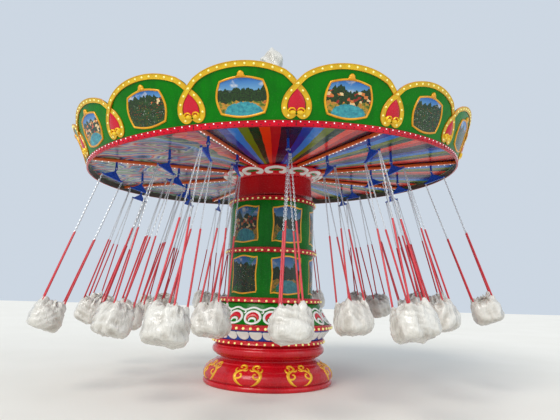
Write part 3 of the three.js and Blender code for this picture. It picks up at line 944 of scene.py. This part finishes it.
# The painted reflection is laid over the printed stripes on the left side.
stripe = lining_paint.mix(painted_reflection_share * (0.7 + 0.6 * threads), stripe, painted_reflection)
ripple = lining_paint.noise(lining_paint.place(), 2.6, 3.0)
striped_lining = lining_paint.surface(
    Base_Color=stripe,
    Roughness=0.16 + 0.14 * threads,
    Normal=lining_paint.bump(ripple + 0.12 * threads, 0.05, 0.4),
)
lining_r = np.linspace(0.05, LINING_RADIUS, LINING_RINGS)
swing, reach = np.meshgrid(FIRST_ARM + all_round(LINING_SIDES), lining_r)
across_bay = np.sin((swing - FIRST_ARM) * BAYS / 2) ** 2
out_share = np.clip(reach / LINING_RADIUS, 0, 1)
sag = LINING_SAG * across_bay * np.sin(np.pi * out_share) ** 0.7
sheet_low = swung(reach, swing, LINING_FOOT - sag)
sheet_high = sheet_low[::-1] + np.array([0.0, 0.0, LINING_THICK])
points, faces = skin(np.concatenate([sheet_low, sheet_high]), first=True, last=True)
made = piece("lining_sheet", "canopy", "striped_lining", striped_lining, (on_head(points), faces))
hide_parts("ceiling_lining")

# Rim rail: a deep crimson ring that ties the arm ends, bare grey on its back, with a row of small white
# lamps near its top, a row of drilled holes below, drawn as small domes in painted shade, and a dark
# joint under every heart.
RIM_RADIUS = 3.69
RIM_INSIDE = 3.66
RIM_FOOT = 0.465
RIM_HEAD = 0.556
RIM_GROOVE = 0.006
RIM_SIDES = 256
RIM_LAMPS = 192
RIM_LAMP_UP = 0.069
RIM_LAMP_RADIUS = 0.0095
RIM_HOLE_UP = 0.03
RIM_HOLE_RADIUS = 0.0085
BACK_INSIDE = 3.6566
BACK_OUTSIDE = 3.6598
BACK_SIDES = 192
crimson = gloss("rim_crimson", (196, 8, 36), (154, 4, 26), streaks=0.3, coat=0.06, shine=0.15)
rim_profile = np.array(
    [
        (RIM_INSIDE, RIM_FOOT + 0.004), (RIM_INSIDE + 0.004, RIM_FOOT), (RIM_RADIUS - 0.008, RIM_FOOT),
        (RIM_RADIUS, RIM_FOOT + 0.006), (RIM_RADIUS, RIM_FOOT + 0.012),
        (RIM_RADIUS - RIM_GROOVE, RIM_FOOT + 0.016), (RIM_RADIUS - RIM_GROOVE, RIM_HEAD - 0.018),
        (RIM_RADIUS, RIM_HEAD - 0.014), (RIM_RADIUS, RIM_HEAD - 0.006), (RIM_RADIUS - 0.008, RIM_HEAD),
        (RIM_INSIDE + 0.004, RIM_HEAD), (RIM_INSIDE, RIM_HEAD - 0.004), (RIM_INSIDE, RIM_FOOT + 0.004),
    ]
)
rim = Round(rim_profile, on_head)
made = piece("rim_ring", "canopy", "crimson", crimson, rim.body(RIM_SIDES, closed=True))
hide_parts("rim_rail")
rim_face = Round([(RIM_RADIUS - RIM_GROOVE, RIM_FOOT), (RIM_RADIUS - RIM_GROOVE, RIM_HEAD)], on_head)
rim_turns = FIRST_ARM + all_round(RIM_LAMPS, 0.5)
rim_lamp = strewn(DOME, [(0, RIM_LAMP_UP)], RIM_LAMP_RADIUS)
piece("rim_lamps", "canopy", None, white_lamp, rim_face.lay(rim_lamp, rim_turns))
shadow = Finish("joint_gap_and_hole_shade", Roughness=0.9)
shadow_tone = shadow.noise(shadow.place(), 40.0)
joint_dark_and_hole_shade = shadow.surface(Base_Color=shadow.mix(shadow_tone, (18, 12, 14), (44, 26, 26)))
joint = ribbon([(0, 0.004), (0, 0.087)], 0.007, 0.0075, HALF_ROUND)
piece("rim_joints", "canopy", None, joint_dark_and_hole_shade, rim_face.lay(joint, bay_turns))
# Painted shade: the holes are small domes that stand out from the face, coloured dark for the shade inside a
# hole.
rim_hole = strewn(DOME, [(0, RIM_HOLE_UP)], RIM_HOLE_RADIUS)
piece("rim_holes", "canopy", None, joint_dark_and_hole_shade, rim_face.lay(rim_hole, rim_turns + np.pi / RIM_LAMPS))
back = Finish("bare_back", Metallic=0.3, Roughness=0.45)
back_tone = back.noise(back.place(), 5.0, 4.0)
bare_back = back.surface(Base_Color=back.mix(back_tone, (104, 100, 90), (60, 58, 54)))
back_low, back_high = RIM_FOOT + 0.002, RIM_HEAD + 0.023
back_profile = [
    (BACK_INSIDE, back_low), (BACK_OUTSIDE, back_low), (BACK_OUTSIDE, back_high), (BACK_INSIDE, back_high),
    (BACK_INSIDE, back_low),
]
rim_back = Round(back_profile, on_head)
piece("rim_back", "canopy", None, bare_back, rim_back.body(BACK_SIDES, closed=True))

# Rounding boards: sixteen green glass-fibre panels that lean out, each with an arched top. A gold band
# with lamps follows the arch, crosses its neighbour at the valley and runs on round the heart there.
BOARD_LEAN = np.radians(21.0)
BOARD_FOOT = 0.5563
BOARD_RADIUS = RIM_RADIUS - RIM_GROOVE
BOARD_THICK = 0.024
BOARD_REACH = 0.78
VALLEY_RISE = 0.47
APEX_RISE = 0.74
ARCH_POWER = 0.62
BAND_WIDE = 0.08
BAND_RISE = 0.016
CROSSING_RISE = 0.014
CROSSING_WIDE = 0.09
LAMP_GAP = 0.128
BOARD_LAMP = 0.0155
board_green = gloss("board_green", (1, 116, 2), (1, 86, 3), streaks=0.5, coat=0.05, shine=0.14)


def arch_rise(t):
    """Height of a board at t, from 0 at one valley to 1 at the next."""
    x = 2 * t - 1
    return VALLEY_RISE + (APEX_RISE - VALLEY_RISE) * np.maximum(0, 1 - x * x) ** ARCH_POWER


board_t = 0.5 - 0.5 * np.cos(np.pi * np.arange(28) / 28)
bay_number, way = np.meshgrid(np.arange(BAYS), board_t, indexing="ij")
board_turn = (FIRST_ARM + (bay_number + way) * BAY).ravel()
board_rise = arch_rise(way.ravel())
share = np.array([0.0, 0.06, 0.2, 0.4, 0.6, 0.8, 0.94, 1.0])
up = np.concatenate([share, share[::-1]])
inset = np.concatenate([np.zeros(8), np.full(8, BOARD_THICK)])
inset[[0, 7, 8, 15]] += np.array([0.004, 0.004, -0.004, -0.004])
board_high = board_rise[:, None] * up
board_r = BOARD_RADIUS + board_high * np.tan(BOARD_LEAN) - inset
board_grid = swung(board_r, board_turn[:, None], BOARD_FOOT + board_high)
points, faces = skin(board_grid, around=True, along=True)
made = piece("board_panels", "canopy", "green_gloss", board_green, (on_head(points), faces))
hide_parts("rounding_boards")

slope = 1 / np.cos(BOARD_LEAN)
face_top = (BOARD_RADIUS + BOARD_REACH * np.tan(BOARD_LEAN), BOARD_FOOT + BOARD_REACH)
board_face = Round([(BOARD_RADIUS, BOARD_FOOT), face_top], on_head)


def drawn(turn, along):
    """Points on the boards' cone in metres across and along it, from turns off the middle line."""
    return np.stack([turn * board_face.read(along, board_face.profile[:, 0]), along], axis=1)


def evenly(line, gap):
    """Points along a line at equal steps near gap, half a step in from both ends."""
    walked = np.concatenate([[0], np.cumsum(np.linalg.norm(np.diff(line, axis=0), axis=1))])
    count = max(1, round(walked[-1] / gap))
    at = (np.arange(count) + 0.5) * walked[-1] / count
    return np.stack([np.interp(at, walked, column) for column in line.T], axis=1)


arch_t = np.linspace(0.0, 1.0, 49)
arch_line = drawn((arch_t - 0.5) * BAY, arch_rise(arch_t) * slope)
arch_line = arch_line + beside(arch_line) * BAND_WIDE * 0.5
arch_line = arch_line[(arch_t > 0.03) & (arch_t < 0.97)]
heart_side = np.array(
    [(-0.055, 0.43), (-0.112, 0.36), (-0.15, 0.284), (-0.165, 0.203), (-0.152, 0.123), (-0.11, 0.066),
     (-0.058, 0.054), (-0.012, 0.092)]
)
valley_left = drawn(np.array([-BAY / 2]), np.array([0.25]))[0, 0]
left_tail = heart_side + np.array([valley_left, 0.0])
right_tail = left_tail * np.array([-1.0, 1.0])
band_line = smooth_line(np.concatenate([left_tail[::-1], arch_line[::3], right_tail]), 110)


def crossing_lift(line):
    """How far a band is raised where it runs over its neighbour: a bell curve about the left valley."""
    bell = np.exp(-(((line[:, 0] - valley_left) / CROSSING_WIDE) ** 2))
    return CROSSING_RISE * bell * (line[:, 1] > 0.3)


BAND_SECTION = np.array(
    [(1, -0.5), (1, 0.8), (0.93, 1), (0.8, 1), (0.72, 0.62),
     (-0.72, 0.62), (-0.8, 1), (-0.93, 1), (-1, 0.8), (-1, -0.5)]
)
band_shape = ribbon(band_line, BAND_WIDE, BAND_RISE, BAND_SECTION)
over = crossing_lift(band_line)
band_shape[0][:, 2] += np.concatenate([np.repeat(over, len(BAND_SECTION)), over[[0, -1]]])
side_share = np.concatenate([np.tile(np.linspace(0, 1, len(BAND_SECTION)), len(band_line)), [0.5, 0.5]])
board_middles = FIRST_ARM + all_round(BAYS, 0.5)
band_gold = Finish("band_gold", Metallic=0.2, Coat_Weight=0.15, Coat_Roughness=0.1)
band_uv = band_gold.node("TexCoord", {}, {}, output="UV")
band_side = band_gold.parts(band_uv)[1]
off_middle = band_gold.maths("ABSOLUTE", band_side - 0.5)
band_tone = band_gold.noise(band_gold.place(), 9.0, 4.0)
band_base = band_gold.mix(band_gold.held((band_tone - 0.35) * 2.2), (226, 186, 2), (206, 156, 1))
band_colour = band_gold.mix(band_gold.held((off_middle - 0.2) * 8.0), band_base, (202, 124, 6))
band_enamel = band_gold.surface(Base_Color=band_colour, Roughness=0.24 + 0.16 * band_tone)
band_uv_values = np.tile(np.stack([np.zeros(len(side_share)), side_share], axis=1), (BAYS, 1))
bands = board_face.lay(band_shape, board_middles)
piece("board_bands", "canopy", None, band_enamel, bands, uv=band_uv_values)
lamp_spots = evenly(band_line[2:-2], LAMP_GAP)
lamp_spots = np.column_stack([lamp_spots, 0.009 + crossing_lift(lamp_spots)])
board_lamps = strewn(DOME, lamp_spots, BOARD_LAMP)
piece("board_lamps", "canopy", None, cream_lamp, board_face.lay(board_lamps, board_middles))

# Hearts: a crimson shield hangs in each crossing of the bands, over two yellow lobes of carved scroll.
heart_half = [(0.0, 0.423), (0.05, 0.36), (0.098, 0.284), (0.118, 0.203), (0.105, 0.134), (0.06, 0.123)]
heart_edge = smooth_line(heart_half + [(-x, y) for x, y in heart_half[:0:-1]], 44, closed=True)
heart_red = gloss("heart_crimson", (198, 6, 40), (164, 4, 30), streaks=0.2, coat=0.08)
heart_steps = [(0.1, 0.03), (0.4, 0.028), (0.7, 0.024), (0.92, 0.018), (1.0, 0.012), (1.0, -0.01)]
heart = plaque(heart_edge, (0, 0.235), heart_steps)
piece("heart_shields", "canopy", "red_gloss", heart_red, board_face.lay(heart, bay_turns))
lobe_steps = [(0.15, 0.036), (0.5, 0.034), (0.8, 0.027), (1.0, 0.014), (1.0, -0.01)]
lobe = plaque(oval((0.052, 0.104), 0.046, 0.034, 20), (0.06, 0.115), lobe_steps)
lobe_curl = scroll(
    [(0.012, 0.128), (0.04, 0.158), (0.085, 0.156), (0.11, 0.125), (0.09, 0.1), (0.066, 0.112)],
    [0.014, 0.024, 0.024, 0.022, 0.018, 0.012],
    0.05,
)
lobes = together([lobe, mirrored(lobe), lobe_curl, mirrored(lobe_curl)])
lobe_gold = gold("lobe_yellow", (252, 214, 40), (238, 184, 24))
piece("heart_lobes", "canopy", None, lobe_gold, board_face.lay(lobes, bay_turns), sharp=60.0)

# Medallions: a landscape in a barrel-shaped gold frame stands in the middle of every board, with a
# small crown on its top edge.
MEDAL_MIDDLE = 0.316
MEDAL_HALF_WIDE = 0.352
MEDAL_HALF_HIGH = 0.266
CORNER_X = 0.84
CORNER_Y = 0.8
TOP_BULGE = 0.2
SIDE_BULGE = 0.16


def side(start, end, bulge):
    """One side of the frame: a straight line bent outwards by a half sine."""
    t = np.linspace(0, 1, 13)[:-1, None]
    start, end = np.array(start), np.array(end)
    return start + (end - start) * t + np.array(bulge) * np.sin(np.pi * t)


medal_corners = [(-CORNER_X, CORNER_Y), (CORNER_X, CORNER_Y), (CORNER_X, -CORNER_Y), (-CORNER_X, -CORNER_Y)]
next_corners = medal_corners[1:] + medal_corners[:1]
bulges = [(0, TOP_BULGE), (SIDE_BULGE, 0), (0, -TOP_BULGE), (-SIDE_BULGE, 0)]
medal_edge = np.concatenate([side(*ends) for ends in zip(medal_corners, next_corners, bulges)])
medal_edge = medal_edge * np.array([MEDAL_HALF_WIDE, MEDAL_HALF_HIGH]) + np.array([0, MEDAL_MIDDLE])
medal = picture_sheet(medal_edge, MEDAL_MIDDLE, 0.006)
medal_uv = picture_uv(medal, MEDAL_MIDDLE, MEDAL_HALF_WIDE * 1.02, MEDAL_HALF_HIGH * 1.02, 0, BAYS)
piece("medallion_pictures", "canopy", None, print_sheet, board_face.lay(medal, board_middles), uv=medal_uv)
medal_frame = ribbon(medal_edge, 0.032, 0.02, HALF_ROUND, closed=True)
crown_edge = smooth_line(
    [(-0.075, 0), (-0.05, 0.022), (-0.04, 0.056), (0, 0.082),
     (0.04, 0.056), (0.05, 0.022), (0.075, 0), (0, -0.012)],
    28,
    closed=True,
)
medal_top = MEDAL_MIDDLE + MEDAL_HALF_HIGH
crown_knob = plaque(crown_edge + np.array([0, medal_top]), (0, medal_top + 0.03), lobe_steps[1:])
medal_work = together([medal_frame, crown_knob])
piece("medallion_frames", "canopy", None, frame_gold, board_face.lay(medal_work, board_middles), sharp=60.0)

# Roof: a slightly hollow-sided cone of green sheet on sixteen raised seams. Nothing of it shows from
# the front, so its form is the plain usual one.
ROOF_SIDES = 128
roof_outer = smooth_line([(3.64, 0.5908), (2.3, 1.21), (1.15, 1.8), (0.3, 2.5)], 22)
roof_inner = smooth_line([(0.24, 2.5), (1.12, 1.758), (2.27, 1.168), (3.59, 0.5908)], 22)
roof = Round(np.concatenate([roof_outer, roof_inner, roof_outer[:1]]), on_head)
roof_green = gloss("roof_green", (22, 112, 44), (12, 78, 32), streaks=0.8)
roof_face = Round(roof_outer, on_head)
seam_way = np.linspace(0.03, roof_face.length[-1] - 0.03, 24)
seam = ribbon(np.stack([np.zeros(24), seam_way], axis=1), 0.04, 0.03, HALF_ROUND)
roof_parts = [roof.body(ROOF_SIDES, closed=True), roof_face.lay(seam, bay_turns)]
made = piece("roof_sheets", "canopy", "roof_sheet", roof_green, *roof_parts)
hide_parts("roof_cone")

# Wraps: milky film pulled round the finial and round each seat, and gathered at the top. It is thin and
# stiff, so it stands in sharp creases, which are shaped here with waves and without a cloth simulation.
WRAP_SIDES = 72
WRAP_ROWS = 44
FILM = 0.0015
film = Finish("white_film", Coat_Weight=0.6, Coat_Roughness=0.1)
crease = film.node("Attribute", {"attribute_name": "crease"}, {}, output="Fac")
haze = film.noise(film.place(), 5.0, 4.0)
wrinkle = film.noise(film.place(turn=(0.4, 0.7, 0.2), stretch=(1.0, 1.0, 0.3)), 15.0, 4.0, 0.6)
sharp_wrinkle = film.maths("ABSOLUTE", wrinkle - 0.5)
film_light = film.mix(haze, (224, 221, 213), (202, 197, 187))
# Painted shade: the film darkens towards a grey-beige in its creases, as deep as their folds go.
film_colour_with_crease_shade = film.mix(film.held(crease), film_light, (170, 163, 151))
film_bump = film.bump(sharp_wrinkle, -0.06, 0.8)
white_film = film.surface(Base_Color=film_colour_with_crease_shade, Roughness=0.16 + 0.2 * haze, Normal=film_bump)


def crumple(points, seed, size):
    """Creases: the sum of waves |sin| along seeded directions, each finer than the last and bent along
    its length. The crests, where a wave passes zero, are long and sharp."""
    rng = np.random.default_rng(seed)
    place = points / size
    height = np.zeros(points.shape[:-1])
    for scale, weight in ((1.0, 0.75), (0.6, 0.6), (0.36, 0.42), (0.22, 0.22), (0.14, 0.12)):
        way, bend = rng.normal(size=(2, 3))
        way /= np.linalg.norm(way)
        bend /= np.linalg.norm(bend)
        curve = 1.2 * np.sin(place @ bend * (1.6 / scale) + rng.uniform(0, 6.28))
        wave = np.sin(place @ way * (2.6 / scale) + curve + rng.uniform(0, 3.14))
        height += weight * (0.6 - np.abs(wave))
    return height


def normals(grid):
    """Unit normals of a grid that is closed round its columns, pointing away from its middle."""
    around = np.roll(grid, -1, 1) - np.roll(grid, 1, 1)
    across = np.cross(around, np.gradient(grid, axis=0))
    length = np.linalg.norm(across, axis=-1, keepdims=True)
    across = across / np.maximum(length, 1e-9)
    away = ((grid - grid.mean(axis=(0, 1))) * across).sum()
    return across if away > 0 else -across


def wrapped(name, body, grid, folds, carry, node):
    """The film as a piece: both skins in one mesh, the inner one turned inside out, with the depth of its
    folds kept as an attribute that darkens the creases with painted shade."""
    outer_points, outer_faces = skin(grid, first=True, last=True)
    inner_points, inner_faces = skin(grid - FILM * normals(grid), first=True, last=True)
    shape = together([(outer_points, outer_faces), (inner_points, [f[:, ::-1] for f in inner_faces])])
    made = piece(name, body, "white_wrap", white_film, (carry(shape[0]), shape[1]), sharp=75.0)
    # Painted shade: the deeper a fold sinks in, the darker the film is painted there.
    depth = np.clip(-folds * 1.1, 0, 1).ravel()
    depth = np.concatenate([depth, [0, 0], depth, [0, 0]])
    layer = made.data.attributes.new("crease", "FLOAT", "POINT")
    layer.data.foreach_set("value", depth.astype(np.float32))
    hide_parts(node)


FINIAL_FOLD = 0.055
finial_line = smooth_line(
    [(0.26, 2.503), (0.272, 2.59), (0.232, 2.76), (0.25, 2.97), (0.235, 3.14), (0.16, 3.29),
     (0.08, 3.37), (0.05, 3.41), (0.03, 3.44)],
    60,
)
finial_grid = turned_grid(finial_line, WRAP_SIDES)
finial_folds = crumple(finial_grid, 77, 0.3)
fold_depth = FINIAL_FOLD * finial_folds * np.minimum(1, 4 * finial_line[:, :1])
finial_grid = finial_grid + fold_depth[..., None] * normals(finial_grid)
wrapped("finial_wrap", "canopy", finial_grid, finial_folds, on_head, "finial_cover")

# Chairs: each hangs from a blue hanger that swings on a pin in the fork. Four chains run from the ends
# of its short bar to the corners of the wrapped seat, bare above and in red sleeves below.
ROWS = [
    # kind, bay, pivot radius, swing from the vertical
    ("outer", 0.0, OUTER_PIVOT, np.radians(18.6)),
    ("middle", 0.5, MIDDLE_PIVOT, np.radians(17.0)),
    ("inner", 0.0, INNER_PIVOT, np.radians(15.5)),
]
HANGER_WIDE = 0.034
BAR_DROP = 0.18
BAR_HALF = 0.195
CHAIN_TOP = np.array([0.18, 0.01, -0.188])
CHAIN_FOOT = np.array([0.165, 0.15, -2.64])
SLEEVE_FROM = 0.464
SLEEVE_TO = 0.955
LINK_PITCH = 0.036
SEAT_WIDE = 0.5
SEAT_DEEP = 0.57
SEAT_HIGH = 0.5
SEAT_FOOT = -2.965
TIE_X = 0.165
TIE_Y = 0.14
BACK_LIFT = 0.09
TAUT_LIFT = 0.045
TAUT_SPREAD = 0.2
CHAIN_LIFT = 0.1
CHAIN_SPREAD = 0.03
PLEAT_SHARE = 0.05
PLEAT_RISE = 0.03
SEAT_FOLD = 0.026
SKEW_WAY = np.array([0.31, 0.95, 0.05])
SEAT_LINE = [
    (0.04, 0), (0.4, 0.0), (0.76, 0.02), (0.95, 0.13), (1.0, 0.32),
    (0.98, 0.52), (0.91, 0.68), (0.74, 0.79), (0.42, 0.83), (0.05, 0.82),
]
steel = Finish("galvanised_steel", Metallic=0.6)
steel_tone = steel.noise(steel.place(), 22.0, 4.0)
steel_colour = steel.mix(steel_tone, (232, 234, 236), (184, 188, 192))
galvanised = steel.surface(Base_Color=steel_colour, Roughness=0.28 + 0.24 * steel_tone)

sleeve_paint = Finish("red_sleeve", Coat_Weight=0.3, Coat_Roughness=0.15)
sleeve_tone = sleeve_paint.noise(sleeve_paint.place(stretch=(1.0, 1.0, 0.2)), 12.0, 3.0)
sleeve_colour = sleeve_paint.mix(sleeve_tone, (208, 18, 38), (164, 8, 26))
red_sleeve = sleeve_paint.surface(
    Base_Color=sleeve_colour,
    Roughness=0.3 + 0.2 * sleeve_tone,
    Normal=sleeve_paint.bump(sleeve_paint.noise(sleeve_paint.place(), 45.0), 0.004, 0.5),
)


def round_bar(start, end, radius, sides, rows=2):
    """A round bar: a circle carried from one end to the other. The circle's first axis is square to
    SKEW_WAY, a way in which no bar runs."""
    start, end = np.array(start, float), np.array(end, float)
    run = (end - start) / np.linalg.norm(end - start)
    one = np.cross(run, SKEW_WAY)
    one /= np.linalg.norm(one)
    turn = all_round(sides)
    ring = radius * (np.cos(turn)[:, None] * one + np.sin(turn)[:, None] * np.cross(run, one))
    steps = np.linspace(0, 1, rows)[:, None, None]
    return skin(start + (end - start) * steps + ring[None], first=True, last=True)


gusset_edge = [
    (-0.02, -0.06), (0.02, -0.06), (0.15, -0.165), (0.15, -0.175), (-0.15, -0.175), (-0.15, -0.165),
]
gusset = np.array([[(x, y, z) for x, z in gusset_edge] for y in (-0.006, 0.006)])
hanger_parts = [
    bar_of((0, 0, 0.0), (0, 0, -0.185), HANGER_WIDE, 0.024, (1, 0, 0)),
    skin(gusset, first=True, last=True),
    bar_of((-BAR_HALF, 0, -BAR_DROP), (BAR_HALF, 0, -BAR_DROP), HANGER_WIDE, HANGER_WIDE, (0, 1, 0)),
]
FITTINGS = [
    # from, to, radius, sides: the hanger's eye, the pin through it, and a nut at each end of the pin
    (-0.0148, 0.0148, 0.02, 16),
    (-0.036, 0.036, 0.009, 12),
    (-0.0335, -0.0256, 0.014, 6),
    (0.0256, 0.0335, 0.014, 6),
]
fitting_parts = [round_bar((0, low, 0), (0, high, 0), radius, sides) for low, high, radius, sides in FITTINGS]
corners_of_seat = [(x, y) for x in (-1, 1) for y in (-1, 1)]
link_turn = all_round(8)
link_out = np.stack([np.cos(link_turn), np.zeros(8), np.sin(link_turn)], axis=1)
link_middle = link_out * np.array([0.0105, 0.0, 0.0185])
link_middle[:, 2] += 0.005 * np.sign(link_out[:, 2])
wire = np.array([(1.0, 0.0), (-0.5, 0.87), (-0.5, -0.87)]) * 0.0045
link_side = wire[None, :, 1:] * np.array([0.0, 1.0, 0.0])
link_grid = link_middle[:, None] + wire[None, :, :1] * link_out[:, None] + link_side
link_points, link_faces = skin(link_grid, around=True, along=True)
chain_parts = []
sleeve_parts = []
for x, y in corners_of_seat:
    head_end = CHAIN_TOP * np.array([x, y, 1])
    foot_end = CHAIN_FOOT * np.array([x, y, 1])
    run = foot_end - head_end
    length = np.linalg.norm(run)
    run = run / length
    links = int((SLEEVE_FROM + 0.02) * length / LINK_PITCH)
    centre = head_end + run * (np.arange(links)[:, None] + 0.6) * LINK_PITCH
    flat_way = np.cross(run, [0.0, 1.0, 0.0])
    flat_way /= np.linalg.norm(flat_way)
    edge_way = np.cross(run, flat_way)
    odd = (np.arange(links) % 2)[:, None]
    sideways = np.where(odd, flat_way, edge_way)
    facing = np.cross(sideways, run)
    placed = centre[:, None] + link_points[:, :1] * sideways[:, None]
    placed = placed + link_points[:, 1:2] * facing[:, None] + link_points[:, 2:] * run
    chain_parts.append(repeated(placed, link_faces))
    chain_parts.append(round_bar(head_end, head_end + run * 0.03, 0.011, 8))
    sleeve_ends = [head_end + run * length * share for share in (SLEEVE_FROM, SLEEVE_TO)]
    sleeve_parts.append(round_bar(*sleeve_ends, 0.0145, 10, 14))


def seat_wrap(seed, wide, deep, high):
    """Film round a seat: rounded squares, from a nearly flat bottom over the bulge to the gathered top.
    It is pulled taut from chain to chain, up round each of them and over the seat's back."""
    rng = np.random.default_rng(seed)
    shape = smooth_line(SEAT_LINE, WRAP_ROWS)
    turn = all_round(WRAP_SIDES)
    square = (np.abs(np.cos(turn)) ** 3 + np.abs(np.sin(turn)) ** 3) ** (-1 / 3)
    girth, lift = shape[:, :1], shape[:, 1:]
    x = 0.5 * wide * girth * square * np.cos(turn)
    y = 0.5 * deep * girth * square * np.sin(turn)
    pleats = np.cos(rng.integers(11, 16) * turn + rng.uniform(0, 6.3))
    pleats = pleats + 0.6 * np.cos(23 * turn + rng.uniform(0, 6.3))
    upper = np.clip((lift - 0.45) / 0.5, 0, 1) ** 1.5
    x = x * (1 + PLEAT_SHARE * upper * pleats)
    y = y * (1 + PLEAT_SHARE * upper * pleats)
    z = SEAT_FOOT + high * lift + PLEAT_RISE * upper * pleats
    facing = 1 if seed % 3 else -1
    z = z + BACK_LIFT * upper * np.clip(facing * y / deep + 0.2, 0, 1)
    taut = np.maximum(np.abs(x) / TIE_X, np.abs(y) / TIE_Y) - 1
    z = z + TAUT_LIFT * upper * np.exp(-(taut**2) / (2 * TAUT_SPREAD**2))
    for sx, sy in corners_of_seat:
        near = (x - sx * TIE_X) ** 2 + (y - sy * TIE_Y) ** 2
        z = z + CHAIN_LIFT * upper * np.exp(-near / (2 * CHAIN_SPREAD**2))
    grid = np.stack([x, y, z], axis=-1)
    folds = crumple(grid + rng.uniform(0, 5, 3), seed, 0.24)
    grid = grid + SEAT_FOLD * (folds * np.minimum(1, 3 * girth))[..., None] * normals(grid)
    return grid, folds


down_in_head = HEAD_TURN.T @ np.array([0.0, 0.0, -1.0])
for row, (kind, bay, pivot_radius, hang) in enumerate(ROWS):
    for number, turn in enumerate(FIRST_ARM + all_round(ARMS, bay)):
        node = f"{kind}_chair_{number + 1}"
        outwards = swung(1.0, turn, 0.0)
        sideways = np.array([np.cos(turn), np.sin(turn), 0.0])
        tip = -(hang + np.arctan2(down_in_head @ outwards, -down_in_head[2]))
        chair_x = np.cos(tip) * outwards + np.array([0, 0, -np.sin(tip)])
        chair_z = np.sin(tip) * outwards + np.array([0, 0, np.cos(tip)])
        axes = np.stack([chair_x, sideways, chair_z])
        pivot = pivot_radius * outwards + np.array([0, 0, PIVOT_HEIGHT])
        lean = np.arctan2(down_in_head @ sideways * np.cos(hang), -down_in_head[2])

        def hung(points, axes=axes, pivot=pivot):
            return on_head(points @ axes + pivot)

        def below(points, lean=lean, hung=hung):
            """Hangs points under the bar, and swings them sideways about it to the true vertical."""
            x, y, z = points.T
            drop = z + BAR_DROP
            aside = y * np.cos(lean) - drop * np.sin(lean)
            down = y * np.sin(lean) + drop * np.cos(lean)
            return hung(np.column_stack([x, aside, down - BAR_DROP]))

        piece(f"{node}_hanger", node, None, hanger_blue, *[(hung(p), f) for p, f in hanger_parts])
        piece(f"{node}_fittings", node, None, galvanised, *[(hung(p), f) for p, f in fitting_parts])
        piece(f"{node}_chains", node, None, galvanised, *[(below(p), f) for p, f in chain_parts], sharp=80.0)
        piece(f"{node}_sleeves", node, "red_gloss", red_sleeve, *[(below(p), f) for p, f in sleeve_parts])
        seed = 100 * row + number
        puff = np.random.default_rng(900 + seed).uniform(-0.02, 0.02, 3)
        grid, folds = seat_wrap(seed, SEAT_WIDE + puff[0], SEAT_DEEP + puff[1], SEAT_HIGH + puff[2])
        wrapped(f"{node}_wrap", node, grid, folds, below, node)
